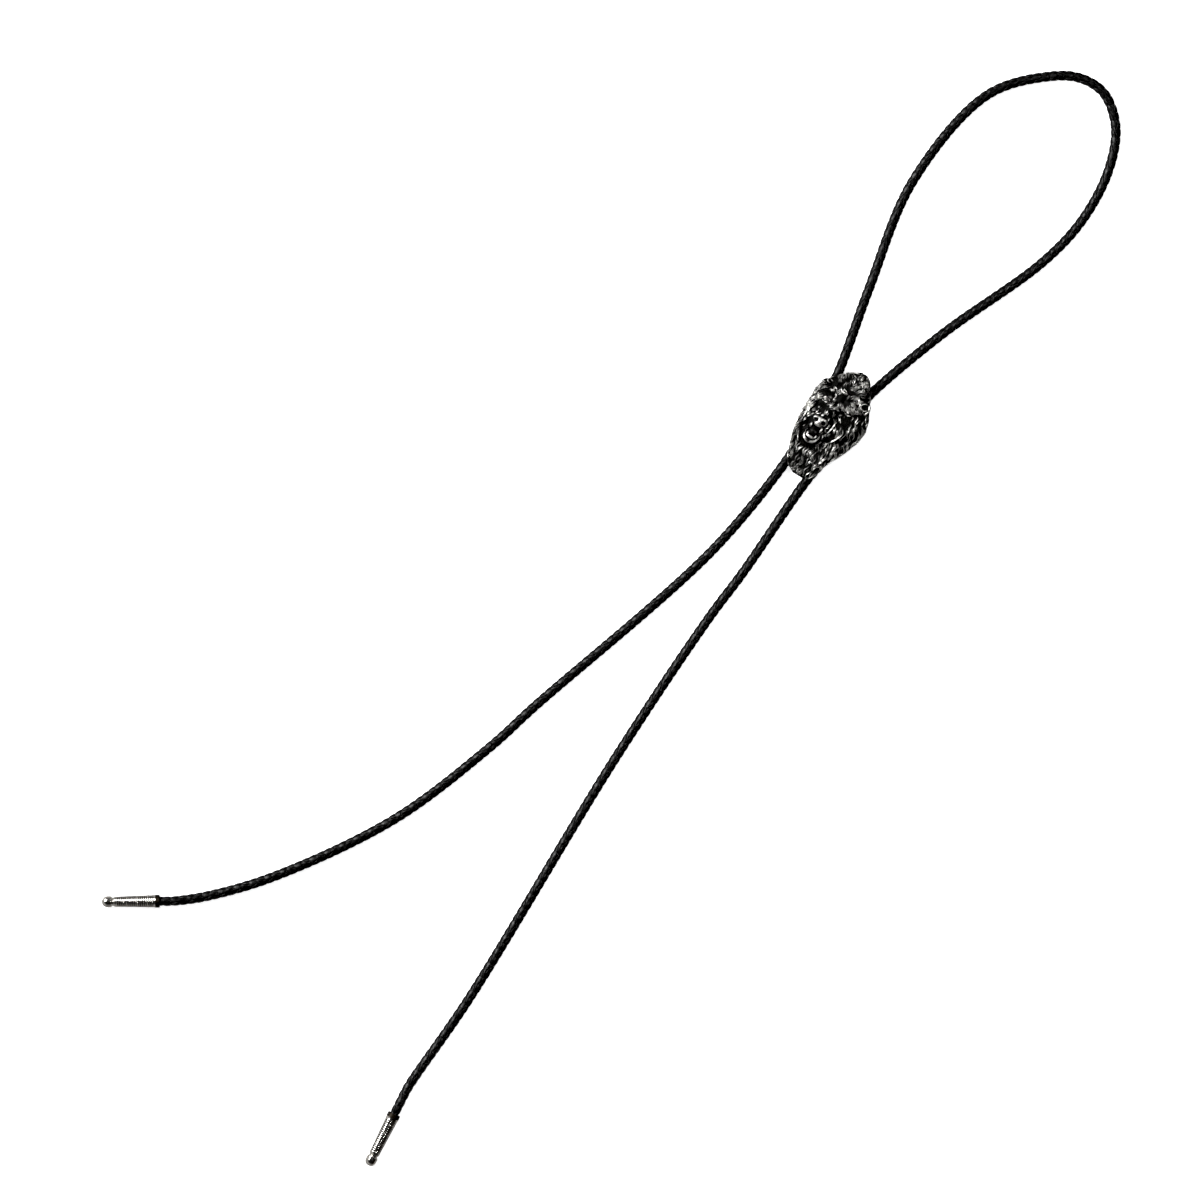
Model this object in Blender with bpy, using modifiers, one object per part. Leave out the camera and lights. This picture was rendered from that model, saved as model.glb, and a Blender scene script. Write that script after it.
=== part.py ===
"""Bolo tie: a cast bear head on a clip that slides on one braided cord with a metal tip at each end.

The tie lies flat on a table. The origin is under the middle of the slide, +Y runs up the bear's
head and +Z points away from the table. Lengths are metres.
"""
import math

import bmesh
import bpy
import numpy as np
from mathutils import Matrix, Vector
from mathutils.bvhtree import BVHTree

MM = 0.001
CLEARANCE = 0.3 * MM

# Cord
CORD_DIAMETER = 3.6 * MM
CORD_END_DIAMETER = 3.4 * MM
CORD_POINT_SPACING = 12.4 * MM

# Clip behind the casting: a plate whose two sides curl round the cord
CLIP_LENGTH = 14.0 * MM
CLIP_WALL = 0.8 * MM
CLIP_CORNER_RADIUS = 1.3 * MM
CLIP_LIP_RISE = 0.9 * MM
LEFT_RUN_X = -6.8 * MM
RIGHT_RUN_X = 4.9 * MM
CORD_HELD_PAST_CLIP = 2.5 * MM

# Casting
CASTING_LENGTH = 43.0 * MM
CASTING_WIDTH = 23.8 * MM
CASTING_HEIGHT = 10.5 * MM
CASTING_EDGE = 1.6 * MM
CASTING_VOXEL = 0.32 * MM
CASTING_FACES = 8800

# Fur locks on the casting
LOCK_LENGTH = 4.6 * MM
LOCK_WIDTH = 1.9 * MM
LOCK_ROW_SPACING = 2.7 * MM
LOCK_SPACING = 2.0 * MM
LOCK_EDGE_MARGIN = 0.7 * MM
LOCK_END_MARGIN = 1.9 * MM

# Tips
TIP_LENGTH = 20.6 * MM
TIP_WALL = 0.25 * MM
TIP_COLLAR_LENGTH = 1.5 * MM
TIP_COLLAR_STEP = 0.08 * MM
TIP_NECK_DIAMETER = 3.7 * MM
TIP_HEAD_LENGTH = 4.0 * MM
TIP_HEAD_DIAMETER = 4.0 * MM
TIP_GROOVE_DEPTH = 0.35 * MM
TIP_GROOVE_WIDTH = 1.2 * MM
TIP_GROOVE_FLOOR = 0.4 * MM
TIP_COLLAR_SLOPE = 0.4 * MM
TIP_SEAT_DEPTH = 6.0 * MM
CORD_STRAIGHT_BEFORE_TIP = 5.0 * MM

# Where each tip's mouth lies and which way the tip points, in degrees from +X
LEFT_TIP_MOUTH = (-112.6 * MM, -269.9 * MM)
LEFT_TIP_HEADING = 212.7
RIGHT_TIP_MOUTH = (-1.8 * MM, -289.8 * MM)
RIGHT_TIP_HEADING = 275.3

# The cord where it lies on the table, in millimetres: round the neck loop, then down each leg
NECK_LOOP = [
    (-7.9, 19), (-14.3, 49), (-21.2, 89), (-15.0, 129), (0, 146.1), (9.9, 151.6), (19.8, 151.5), (29.7, 143.6),
    (35.8, 129), (37.2, 109), (33.2, 89), (16.7, 49), (6.8, 19),
]
LEFT_LEG = [
    (-6.8, -21), (-12.3, -61), (-36.4, -141), (-42.0, -161), (-57.3, -201), (-82.6, -240.7), (-99.2, -259.4),
]
RIGHT_LEG = [(3.2, -21), (1.3, -61), (-0.4, -81), (-2.2, -141), (-1.0, -241), (-2.7, -279)]

# The casting's outline and dome. Columns: place along the half length, left and right edge as shares
# of the half width, and the dome's height there as a share of the casting's height.
OUTLINE = [
    (1.00, 0.05, 0.16, 0.20),
    (0.935, -0.21, 0.26, 0.32),
    (0.866, -0.41, 0.37, 0.42),
    (0.75, -0.60, 0.51, 0.50),
    (0.634, -0.79, 0.66, 0.55),
    (0.52, -0.93, 0.77, 0.57),
    (0.38, -0.98, 0.90, 0.57),
    (0.17, -0.99, 1.00, 0.56),
    (-0.04, -0.99, 0.96, 0.52),
    (-0.27, -0.94, 0.81, 0.48),
    (-0.454, -0.86, 0.65, 0.46),
    (-0.64, -0.74, 0.51, 0.43),
    (-0.824, -0.60, 0.42, 0.36),
    (-0.94, -0.38, 0.32, 0.27),
    (-1.00, -0.22, 0.18, 0.20),
]

# Rounded forms of the face. Columns: place across and along as shares of the half width and half length,
# height of the middle, then the radii across, along and up, all as shares of the casting's height,
# a turn in degrees about +Z, and roundness: 1 is a ball and less is nearer to a box.
FACE_FORMS = [
    ("muzzle", -0.32, 0.02, 0.46, 0.44, 0.56, 0.40, 4, 0.9),
    ("forehead", -0.05, 0.40, 0.42, 0.60, 0.48, 0.24, 0, 1.0),
    ("bridge_top", -0.17, 0.38, 0.56, 0.16, 0.36, 0.17, -6, 1.0),
    ("bridge_low", -0.25, 0.19, 0.71, 0.19, 0.36, 0.17, -8, 1.0),
    ("brow_right", 0.24, 0.42, 0.55, 0.40, 0.15, 0.17, -10, 1.0),
    ("brow_left", -0.55, 0.39, 0.50, 0.26, 0.14, 0.16, 26, 1.0),
    ("cheek_right", 0.26, 0.02, 0.42, 0.40, 0.64, 0.24, -14, 1.0),
    ("cheek_left", -0.78, 0.02, 0.34, 0.18, 0.60, 0.24, 6, 1.0),
    ("jaw", -0.33, -0.36, 0.44, 0.34, 0.27, 0.26, 4, 0.9),
    ("beard", -0.26, -0.56, 0.36, 0.34, 0.52, 0.20, 6, 1.0),
    ("ear_right", 0.575, 0.51, 0.44, 0.23, 0.23, 0.22, 0, 1.0),
    ("ear_left", -0.78, 0.53, 0.30, 0.17, 0.19, 0.28, 0, 1.0),
    ("crest", 0.10, 0.70, 0.36, 0.42, 0.60, 0.20, 0, 1.0),
]

# Hollows cut into the face, in the same columns
HOLLOWS = [
    ("mouth", -0.335, -0.245, 0.76, 0.275, 0.21, 0.42, 4, 0.7),
    ("ear_cup", 0.585, 0.52, 0.66, 0.12, 0.13, 0.24, 30, 1.0),
    ("socket_right", 0.26, 0.305, 0.60, 0.20, 0.11, 0.12, -8, 1.0),
    ("socket_left", -0.53, 0.305, 0.55, 0.15, 0.10, 0.12, 12, 1.0),
]

# What stands on the face and in its hollows, in the same columns
INNER_FORMS = [
    ("nose_pad", -0.345, -0.062, 0.83, 0.28, 0.16, 0.13, 4, 0.55),
    ("nose_ridge", -0.345, -0.062, 0.91, 0.05, 0.15, 0.06, 4, 0.8),
    ("tongue", -0.335, -0.255, 0.38, 0.14, 0.20, 0.12, 4, 1.0),
    ("tooth_left", -0.47, -0.315, 0.66, 0.04, 0.07, 0.14, 0, 1.0),
    ("tooth_right", -0.20, -0.315, 0.66, 0.04, 0.07, 0.14, 0, 1.0),
    ("eye_right", 0.26, 0.305, 0.53, 0.10, 0.08, 0.09, -8, 1.0),
    ("eye_left", -0.53, 0.305, 0.48, 0.09, 0.075, 0.09, 12, 1.0),
]
NOSTRILS = [
    ("nostril_left", -0.465, -0.066, 0.97, 0.085, 0.085, 0.12, 20, 0.8),
    ("nostril_right", -0.225, -0.062, 0.97, 0.085, 0.085, 0.12, -20, 0.8),
]

# Long raised folds: points across and along as shares, then the fold's lowest height and its thickness
# as shares of the casting's height
FOLDS = [
    ("lower_lip", [(-0.55, -0.33), (-0.51, -0.40), (-0.34, -0.44), (-0.16, -0.39), (-0.10, -0.28)], 0.68, 0.07),
    ("lip_bar", [(-0.50, -0.352), (-0.34, -0.36), (-0.21, -0.352)], 0.72, 0.06),
    ("lip_corner", [(-0.07, -0.13), (0.02, -0.20), (0.03, -0.30), (-0.07, -0.43)], 0.56, 0.05),
    ("lip_line", [(0.09, 0.07), (0.08, -0.05), (0.05, -0.14), (-0.01, -0.24)], 0.56, 0.04),
    ("cheek_line", [(0.45, -0.04), (0.40, -0.13), (0.32, -0.21), (0.14, -0.355)], 0.56, 0.04),
    ("left_line", [(-0.84, -0.02), (-0.82, -0.20), (-0.72, -0.38), (-0.60, -0.52)], 0.40, 0.05),
    ("ear_rim", [(0.66, 0.60), (0.74, 0.51), (0.68, 0.42), (0.50, 0.385), (0.36, 0.39)], 0.52, 0.05),
    ("lower_rim", [(-0.70, -0.70), (-0.58, -0.82), (-0.40, -0.93), (-0.20, -0.96)], 0.24, 0.06),
]

# Where no fur grows. Columns: place across and along as shares of the half width and half length,
# then the radii as shares of the half width.
BARE_PLACES = [
    ("muzzle", -0.33, -0.12, 0.42, 0.60),
    ("bridge", -0.20, 0.28, 0.20, 0.30),
    ("eye_right", 0.26, 0.305, 0.20, 0.13),
    ("eye_left", -0.53, 0.305, 0.17, 0.13),
    ("chin", -0.33, -0.40, 0.26, 0.16),
    ("ear_right", 0.585, 0.52, 0.17, 0.20),
    ("ear_left", -0.80, 0.53, 0.16, 0.20),
]
FUR_MIDDLE = (-0.20, 0.36)

# How far the folds stand above the bare head, as a share of a lock's width
FOLD_RISE = 0.42


def half_width():
    """The casting's half width."""
    return CASTING_WIDTH / 2


def half_length():
    """The casting's half length."""
    return CASTING_LENGTH / 2


def clip_bore():
    """Inside width of a clip channel."""
    return CORD_DIAMETER + 2 * CLEARANCE


def channel_height():
    """Height of the cord's centre inside the clip."""
    return CLIP_WALL + clip_bore() / 2


def casting_back():
    """Height of the casting's flat back, a glue line above the clip's plate."""
    return 2 * CLIP_WALL + clip_bore() + CLEARANCE


def tip_mouth_radius():
    """Outer radius of a tip's tube at its mouth."""
    return CORD_END_DIAMETER / 2 + CLEARANCE + TIP_WALL


def tip_droop():
    """Sine of the angle by which a lying tip's axis drops, from its wide collar to its round head."""
    collar, head = tip_mouth_radius() + TIP_COLLAR_STEP, TIP_HEAD_DIAMETER / 2
    return (collar - head) / (TIP_LENGTH - head - TIP_COLLAR_LENGTH)


def tip_direction(heading):
    """Unit vector from a lying tip's mouth to its head."""
    level, angle = math.sqrt(1 - tip_droop() ** 2), math.radians(heading)
    return Vector((level * math.cos(angle), level * math.sin(angle), -tip_droop()))


def tip_mouth(place):
    """Centre of a lying tip's mouth."""
    height = tip_mouth_radius() + TIP_COLLAR_STEP + TIP_COLLAR_LENGTH * tip_droop()
    return Vector((place[0], place[1], height))


def tip_points(place, heading):
    """The cord's last points: straight into the tip."""
    mouth, along = tip_mouth(place), tip_direction(heading)
    return [mouth - CORD_STRAIGHT_BEFORE_TIP * along, mouth, mouth + TIP_SEAT_DEPTH * along]


def cord_route():
    """The route's own points, from the left tip through the clip, round the neck and back, and the
    numbers of those where it runs straight into a tip or a channel."""
    rest = CORD_DIAMETER / 2
    reach = CLIP_LENGTH / 2

    def lying(points):
        return [Vector((x * MM, y * MM, rest)) for x, y in points]

    def held(run_x):
        places = (reach + CORD_HELD_PAST_CLIP, reach / 2, -reach / 2, -reach - CORD_HELD_PAST_CLIP)
        return [Vector((run_x, y, channel_height())) for y in places]

    stretches = [
        tip_points(LEFT_TIP_MOUTH, LEFT_TIP_HEADING)[::-1],
        lying(LEFT_LEG[::-1]),
        held(LEFT_RUN_X)[::-1],
        lying(NECK_LOOP),
        held(RIGHT_RUN_X),
        lying(RIGHT_LEG),
        tip_points(RIGHT_TIP_MOUTH, RIGHT_TIP_HEADING),
    ]
    route, kept = [], []
    for number, stretch in enumerate(stretches):
        if number % 2 == 0:
            kept += [len(route), len(route) + len(stretch) - 1]
        route += stretch
    return route, kept


def smooth_curve(points, spacing, kept=()):
    """Evenly spaced points on one smooth curve through the given points, and how far along each lies.
    The curve's ends and the kept points are among them."""
    parts = 24
    ends = [2 * points[0] - points[1]] + points + [2 * points[-1] - points[-2]]
    fine = []
    for before, start, stop, after in zip(ends, ends[1:], ends[2:], ends[3:]):
        gaps = [(b - a).length ** 0.5 for a, b in ((before, start), (start, stop), (stop, after))]
        leave = (start - before) / gaps[0] - (stop - before) / (gaps[0] + gaps[1]) + (stop - start) / gaps[1]
        arrive = (stop - start) / gaps[1] - (after - start) / (gaps[1] + gaps[2]) + (after - stop) / gaps[2]
        for part in range(parts):
            t = part / parts
            fine.append((2 * t**3 - 3 * t**2 + 1) * start + (t**3 - 2 * t**2 + t) * leave * gaps[1]
                        + (3 * t**2 - 2 * t**3) * stop + (t**3 - t**2) * arrive * gaps[1])
    fine.append(points[-1])
    places = np.array(fine)
    travelled = np.concatenate([[0.0], np.cumsum(np.linalg.norm(np.diff(places, axis=0), axis=1))])
    knots = [travelled[parts * number] for number in sorted({0, *kept, len(points) - 1})]
    stations = [0.0]
    for start, stop in zip(knots, knots[1:]):
        steps = max(round((stop - start) / spacing), 1)
        stations += list(np.linspace(start, stop, steps + 1)[1:])
    columns = [np.interp(stations, travelled, places[:, axis]) for axis in range(3)]
    return np.stack(columns, axis=1), stations


def new_collection(name):
    """A collection linked to the scene."""
    collection = bpy.data.collections.new(name)
    bpy.context.scene.collection.children.link(collection)
    return collection


def new_object(name, data, collection):
    """An object linked to a collection."""
    obj = bpy.data.objects.new(name, data)
    collection.objects.link(obj)
    return obj


def finish(name, color, metallic, roughness):
    """A Principled material."""
    material = bpy.data.materials.new(name)
    material.use_nodes = True
    shader = material.node_tree.nodes["Principled BSDF"]
    shader.inputs["Base Color"].default_value = (*color, 1.0)
    shader.inputs["Metallic"].default_value = metallic
    shader.inputs["Roughness"].default_value = roughness
    return material


def baked(obj):
    """The object's mesh as its modifiers leave it."""
    graph = bpy.context.evaluated_depsgraph_get()
    return bpy.data.meshes.new_from_object(obj.evaluated_get(graph))


def smooth(mesh, angle=40):
    """Smooth shading with the sharper edges kept."""
    mesh.shade_smooth()
    mesh.set_sharp_from_angle(angle=math.radians(angle))


def make_cord(tie):
    """The one continuous cord, narrowed where each end goes into its tip."""
    route, kept = cord_route()
    places, stations = smooth_curve(route, CORD_POINT_SPACING, kept)
    places[:, 2] = np.maximum(places[:, 2], CORD_DIAMETER / 2)
    curve = bpy.data.curves.new("cord", "CURVE")
    curve.dimensions = "3D"
    curve.bevel_depth = CORD_DIAMETER / 2
    curve.bevel_resolution = 2
    curve.use_fill_caps = True
    spline = curve.splines.new("POLY")
    spline.points.add(len(places) - 1)
    narrow = CORD_END_DIAMETER / CORD_DIAMETER
    for point, place, station in zip(spline.points, places, stations):
        from_end = min(station, stations[-1] - station) - TIP_SEAT_DEPTH
        swell = min(max(from_end / CORD_POINT_SPACING, 0.0), 1.0)
        point.co = (*place, 1.0)
        point.radius = narrow + (1 - narrow) * swell
    cord = new_object("cord", curve, tie)
    curve.materials.append(finish("black_leather", (0.012, 0.011, 0.011), 0.0, 0.42))
    return cord


def tip_profile():
    """Half section of a tip, down its outside from head to mouth and back up the bore."""
    mouth_radius = tip_mouth_radius()
    neck_radius = TIP_NECK_DIAMETER / 2
    head_radius = TIP_HEAD_DIAMETER / 2
    groove_radius = neck_radius - TIP_GROOVE_DEPTH
    groove = TIP_LENGTH - TIP_HEAD_LENGTH
    dome = TIP_LENGTH - head_radius
    points = [(0.0, TIP_LENGTH)]
    for step in range(1, 6):
        angle = math.radians(90 - 18 * step)
        points.append((head_radius * math.cos(angle), dome + head_radius * math.sin(angle)))
    points += [
        (head_radius, groove + TIP_GROOVE_WIDTH / 2),
        (groove_radius, groove + TIP_GROOVE_FLOOR / 2),
        (groove_radius, groove - TIP_GROOVE_FLOOR / 2),
        (neck_radius, groove - TIP_GROOVE_WIDTH / 2),
        (mouth_radius, TIP_COLLAR_LENGTH + TIP_COLLAR_SLOPE),
        (mouth_radius + TIP_COLLAR_STEP, TIP_COLLAR_LENGTH),
        (mouth_radius + TIP_COLLAR_STEP, 0.0),
        (mouth_radius - TIP_WALL, 0.0),
        (mouth_radius - TIP_WALL, TIP_SEAT_DEPTH + CLEARANCE),
        (0.0, TIP_SEAT_DEPTH + CLEARANCE),
    ]
    return points


def make_tip(name, place, heading, material, tie):
    """One end cap, turned and laid on the table with its axis along the cord's end."""
    mesh = bpy.data.meshes.new(name)
    profile = tip_profile()
    mesh.from_pydata([(x, 0, z) for x, z in profile], [(i, i + 1) for i in range(len(profile) - 1)], [])
    tip = new_object(name, mesh, tie)
    screw = tip.modifiers.new("turned", "SCREW")
    screw.steps = 20
    screw.render_steps = 20
    screw.use_merge_vertices = True
    screw.merge_threshold = 0.00001
    tip.location = tip_mouth(place)
    tip.rotation_euler = tip_direction(heading).to_track_quat("Z", "Y").to_euler()
    mesh.materials.append(material)
    return tip


def corner_arc(centre_x, centre_z, radius, start, stop):
    """Points on an arc in the XZ plane, angles in degrees from +X towards +Z."""
    angles = np.radians(np.linspace(start, stop, 6))
    return [(centre_x + radius * math.cos(a), centre_z + radius * math.sin(a)) for a in angles]


def clip_sheet():
    """Middle line of the clip's sheet in the XZ plane, from the right lip to the left lip."""
    side = clip_bore() / 2 + CLIP_WALL / 2
    radius = CLIP_CORNER_RADIUS + CLIP_WALL / 2
    inset = side - radius
    height = channel_height()
    right = [(RIGHT_RUN_X - side, height + CLIP_LIP_RISE)]
    right += corner_arc(RIGHT_RUN_X - inset, height - inset, radius, 180, 270)
    right += corner_arc(RIGHT_RUN_X + inset, height - inset, radius, 270, 360)
    right += corner_arc(RIGHT_RUN_X + inset, height + inset, radius, 0, 90)
    left = corner_arc(LEFT_RUN_X - inset, height + inset, radius, 90, 180)
    left += corner_arc(LEFT_RUN_X - inset, height - inset, radius, 180, 270)
    left += corner_arc(LEFT_RUN_X + inset, height - inset, radius, 270, 360)
    left += [(LEFT_RUN_X + side, height + CLIP_LIP_RISE)]
    return right + left


def make_clip(tie):
    """The plate with its two curled channels, glued behind the casting."""
    outline = clip_sheet()
    ends = (-CLIP_LENGTH / 2, CLIP_LENGTH / 2)
    count = len(outline)
    mesh = bpy.data.meshes.new("back_clip")
    faces = [(i, i + 1, i + 1 + count, i + count) for i in range(count - 1)]
    mesh.from_pydata([(x, y, z) for y in ends for x, z in outline], [], faces)
    clip = new_object("back_clip", mesh, tie)
    sheet = clip.modifiers.new("sheet", "SOLIDIFY")
    sheet.thickness = CLIP_WALL
    sheet.offset = 0.0
    sheet.use_even_offset = True
    mesh.materials.append(finish("plated_steel", (0.62, 0.61, 0.58), 1.0, 0.32))
    return clip


def outline_at(along):
    """Left edge, right edge and dome height at a share of the half length, in metres."""
    table = np.array(OUTLINE)[::-1]
    left, right, rise = (np.interp(along, table[:, 0], table[:, column]) for column in (1, 2, 3))
    return left * half_width(), right * half_width(), rise * CASTING_HEIGHT


def dome_height(x, y):
    """Height of the plain dome above the casting's back."""
    left, right, rise = outline_at(y / half_length())
    across = 2 * (x - left) / (right - left) - 1
    bulge = max(1 - abs(across) ** 2.6, 0.0) ** 0.5
    return CASTING_EDGE + (rise - CASTING_EDGE) * bulge


def dome_mesh():
    """The casting's plain dome as a closed loft, its foot below the back so that the cut is clean."""
    bm = bmesh.new()
    foot = -CASTING_EDGE
    columns, sections = 20, 45
    rows = []
    for along in np.linspace(1.0, -1.0, sections):
        left, right, _ = outline_at(along)
        y = along * half_length()
        xs = [left + (right - left) * (1 - math.cos(math.pi * c / columns)) / 2 for c in range(columns + 1)]
        top = [bm.verts.new((x, y, dome_height(x, y))) for x in xs]
        base = [bm.verts.new((x, y, foot)) for x in reversed(xs)]
        rows.append(top + base)
    size = len(rows[0])
    for upper, lower in zip(rows, rows[1:]):
        for i in range(size):
            j = (i + 1) % size
            bm.faces.new((upper[i], lower[i], lower[j], upper[j]))
    bm.faces.new(rows[0])
    bm.faces.new(list(reversed(rows[-1])))
    bmesh.ops.recalc_face_normals(bm, faces=bm.faces)
    mesh = bpy.data.meshes.new("dome")
    bm.to_mesh(mesh)
    bm.free()
    return mesh


def add_form(bm, across, along, height, radii, turn, roundness):
    """One rounded form: a ball, squared off if it is not round, stretched and turned about +Z."""
    made = bmesh.ops.create_uvsphere(bm, u_segments=24, v_segments=14, radius=1.0)["verts"]
    for vert in made:
        vert.co = Vector([math.copysign(abs(c) ** roundness, c) for c in vert.co])
    place = Matrix.Translation((across * half_width(), along * half_length(), height * CASTING_HEIGHT))
    stretch = Matrix.Diagonal((*(r * CASTING_HEIGHT for r in radii), 1.0))
    bmesh.ops.transform(bm, verts=made, matrix=place @ Matrix.Rotation(math.radians(turn), 4, "Z") @ stretch)


def add_forms(bm, table):
    """Every rounded form of a table."""
    for _, across, along, height, wide, long, deep, turn, roundness in table:
        add_form(bm, across, along, height, (wide, long, deep), turn, roundness)


def surface_of(mesh):
    """A tree that finds the mesh's upper surface."""
    bm = bmesh.new()
    bm.from_mesh(mesh)
    tree = BVHTree.FromBMesh(bm)
    bm.free()
    return tree


def surface_point(tree, x, y):
    """The point of the upper surface over a place on the back, and the way it faces."""
    point, normal, _, _ = tree.ray_cast(Vector((x, y, 2 * CASTING_HEIGHT)), Vector((0, 0, -1)))
    return (point, normal) if point else (Vector((x, y, 0.0)), Vector((0, 0, 1)))


def add_fold(bm, tree, points, height, thickness):
    """A raised fold: overlapping balls along a smooth line on the surface, thin at both ends."""
    line = [Vector((u * half_width(), v * half_length(), 0.0)) for u, v in points]
    radius = thickness * CASTING_HEIGHT
    places, stations = smooth_curve(line, radius * 0.8)
    for place, station in zip(places, stations):
        middle = 1 - abs(2 * station / stations[-1] - 1)
        size = radius * (0.6 + 0.4 * math.sin(middle * math.pi / 2))
        ground, _ = surface_point(tree, place[0], place[1])
        level = max(height * CASTING_HEIGHT, ground.z + LOCK_WIDTH * FOLD_RISE)
        bmesh.ops.create_icosphere(bm, subdivisions=1, radius=size,
                                   matrix=Matrix.Translation((place[0], place[1], level)))


def fur_heading(x, y):
    """Which way the fur lies: away from the brow, drooping at the sides and drawn in at the beard."""
    away = Vector((x - FUR_MIDDLE[0] * half_width(), y - FUR_MIDDLE[1] * half_length())).normalized()
    droop = 1.7 * (1 - max(away.y, 0.0)) * abs(away.x) ** 0.5
    gather = 0.9 * max(-y / half_length(), 0.0) * x / half_width()
    return Vector((away.x - gather, away.y - droop)).normalized()


def is_bare(x, y):
    """Whether a place is on the naked part of the face."""
    for _, across, along, wide, long in BARE_PLACES:
        u = (x - across * half_width()) / (wide * half_width())
        v = (y - along * half_length()) / (long * half_width())
        if u * u + v * v < 1:
            return True
    return False


def fur_places():
    """Staggered rows of lock roots over the furry part of the casting."""
    rows = int(CASTING_LENGTH / LOCK_ROW_SPACING)
    for row in range(rows + 1):
        y = (row / rows - 0.5) * (CASTING_LENGTH - 2 * LOCK_END_MARGIN)
        left, right, _ = outline_at(y / half_length())
        count = max(int((right - left - 2 * LOCK_EDGE_MARGIN) / LOCK_SPACING), 1)
        for number in range(count + 1 + row % 2):
            share = number / (count + row % 2)
            x = left + LOCK_EDGE_MARGIN + share * (right - left - 2 * LOCK_EDGE_MARGIN)
            if not is_bare(x, y):
                yield x, y


def add_lock(bm, tree, x, y):
    """One lock of fur: a long drop, thick at its root and thin at its tip, lying along the surface."""
    root, facing = surface_point(tree, x, y)
    way = fur_heading(x, y)
    lie = Vector((way.x, way.y, 0.0))
    up = (facing + Vector((0, 0, 0.6))).normalized()
    lie = (lie - up * lie.dot(up)).normalized()
    frame = Matrix((lie, up.cross(lie), up)).transposed().to_4x4()
    made = bmesh.ops.create_uvsphere(bm, u_segments=8, v_segments=6, radius=0.5)["verts"]
    for vert in made:
        taper = 1.5 - 1.1 * (vert.co.x + 0.5)
        vert.co = Vector((vert.co.x * LOCK_LENGTH, vert.co.y * LOCK_WIDTH * taper, vert.co.z * LOCK_WIDTH * taper))
    bmesh.ops.transform(bm, verts=made, matrix=Matrix.Translation(root) @ frame)


def add_fur(bm, tree):
    """A lock at every place where fur grows."""
    for x, y in fur_places():
        add_lock(bm, tree, x, y)


def add_skin(obj, name):
    """One closed skin round everything that the object holds so far."""
    skin = obj.modifiers.new(name, "REMESH")
    skin.mode = "VOXEL"
    skin.voxel_size = CASTING_VOXEL


def voxel_fused(shells, name, collection):
    """Closed shells fused into one skin."""
    mesh = bpy.data.meshes.new(name)
    shells.to_mesh(mesh)
    shells.free()
    obj = new_object(name, mesh, collection)
    add_skin(obj, "fuse")
    return obj


def cut_by(obj, table, name, collection):
    """The forms of a table cut out of the object."""
    shells = bmesh.new()
    add_forms(shells, table)
    cut = obj.modifiers.new(name, "BOOLEAN")
    cut.operation = "DIFFERENCE"
    cut.object = voxel_fused(shells, name, collection)


def flat_backed(mesh):
    """The mesh cut flat at its back, centred over the origin and set above the clip."""
    bm = bmesh.new()
    bm.from_mesh(mesh)
    bmesh.ops.bisect_plane(bm, geom=bm.verts[:] + bm.edges[:] + bm.faces[:], dist=0.00001,
                           plane_co=(0, 0, 0), plane_no=(0, 0, 1), clear_inner=True)
    bmesh.ops.holes_fill(bm, edges=[edge for edge in bm.edges if edge.is_boundary])
    bmesh.ops.triangulate(bm, faces=bm.faces[:])
    middle = [(min(v.co[axis] for v in bm.verts) + max(v.co[axis] for v in bm.verts)) / 2 for axis in (0, 1)]
    bmesh.ops.translate(bm, verts=bm.verts, vec=(-middle[0], -middle[1], casting_back()))
    flat = bpy.data.meshes.new("slide_casting")
    bm.to_mesh(flat)
    bm.free()
    return flat


def make_casting(tie, cutters):
    """The bear head: dome, face and fur fused, its hollows cut, its back cut flat."""
    shells = bmesh.new()
    shells.from_mesh(dome_mesh())
    add_forms(shells, FACE_FORMS)
    bare_head = voxel_fused(shells, "bare_head", cutters)
    bare_mesh = baked(bare_head)
    tree = surface_of(bare_mesh)

    shells = bmesh.new()
    shells.from_mesh(bare_mesh)
    add_fur(shells, tree)
    furry_head = voxel_fused(shells, "furry_head", cutters)
    cut_by(furry_head, HOLLOWS, "hollows", cutters)

    shells = bmesh.new()
    shells.from_mesh(baked(furry_head))
    add_forms(shells, INNER_FORMS)
    for _, points, height, thickness in FOLDS:
        add_fold(shells, tree, points, height, thickness)
    face = voxel_fused(shells, "face", cutters)
    cut_by(face, NOSTRILS, "nostrils", cutters)
    add_skin(face, "skin")

    draft = new_object("draft", baked(face), cutters)
    thin = draft.modifiers.new("thin", "DECIMATE")
    thin.ratio = CASTING_FACES / sum(len(polygon.vertices) - 2 for polygon in draft.data.polygons)
    mesh = flat_backed(baked(draft))
    smooth(mesh, 60)
    mesh.materials.append(finish("blackened_pewter", (0.20, 0.19, 0.175), 0.9, 0.34))
    return new_object("slide_casting", mesh, tie)


def main():
    for obj in list(bpy.data.objects):
        bpy.data.objects.remove(obj, do_unlink=True)
    tie = new_collection("bolo_tie")
    cutters = new_collection("cutters")
    make_casting(tie, cutters)
    make_clip(tie)
    make_cord(tie)
    tip_metal = finish("nickel_silver", (0.60, 0.58, 0.54), 1.0, 0.24)
    make_tip("tip_left", LEFT_TIP_MOUTH, LEFT_TIP_HEADING, tip_metal, tie)
    make_tip("tip_right", RIGHT_TIP_MOUTH, RIGHT_TIP_HEADING, tip_metal, tie)
    for obj in cutters.objects:
        obj.hide_render = True
        obj.display_type = "WIRE"


main()
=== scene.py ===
# %% [markdown]
# # A bolo tie with a cast bear's head
#
# A bolo tie is one braided leather cord worn round the collar. Both of its ends hang in front, each
# finished with a metal tip, and an ornament on a clip slides up the two legs to close the loop. This
# one lies on a white table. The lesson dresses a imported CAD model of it: every piece stays where that
# model says, and this script gives it the braid, the fur and the finish of the real thing.

# %% Load the frame
import math

import bmesh
import bpy
import numpy as np
from mathutils import Matrix, Vector
from mathutils.bvhtree import BVHTree


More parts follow.
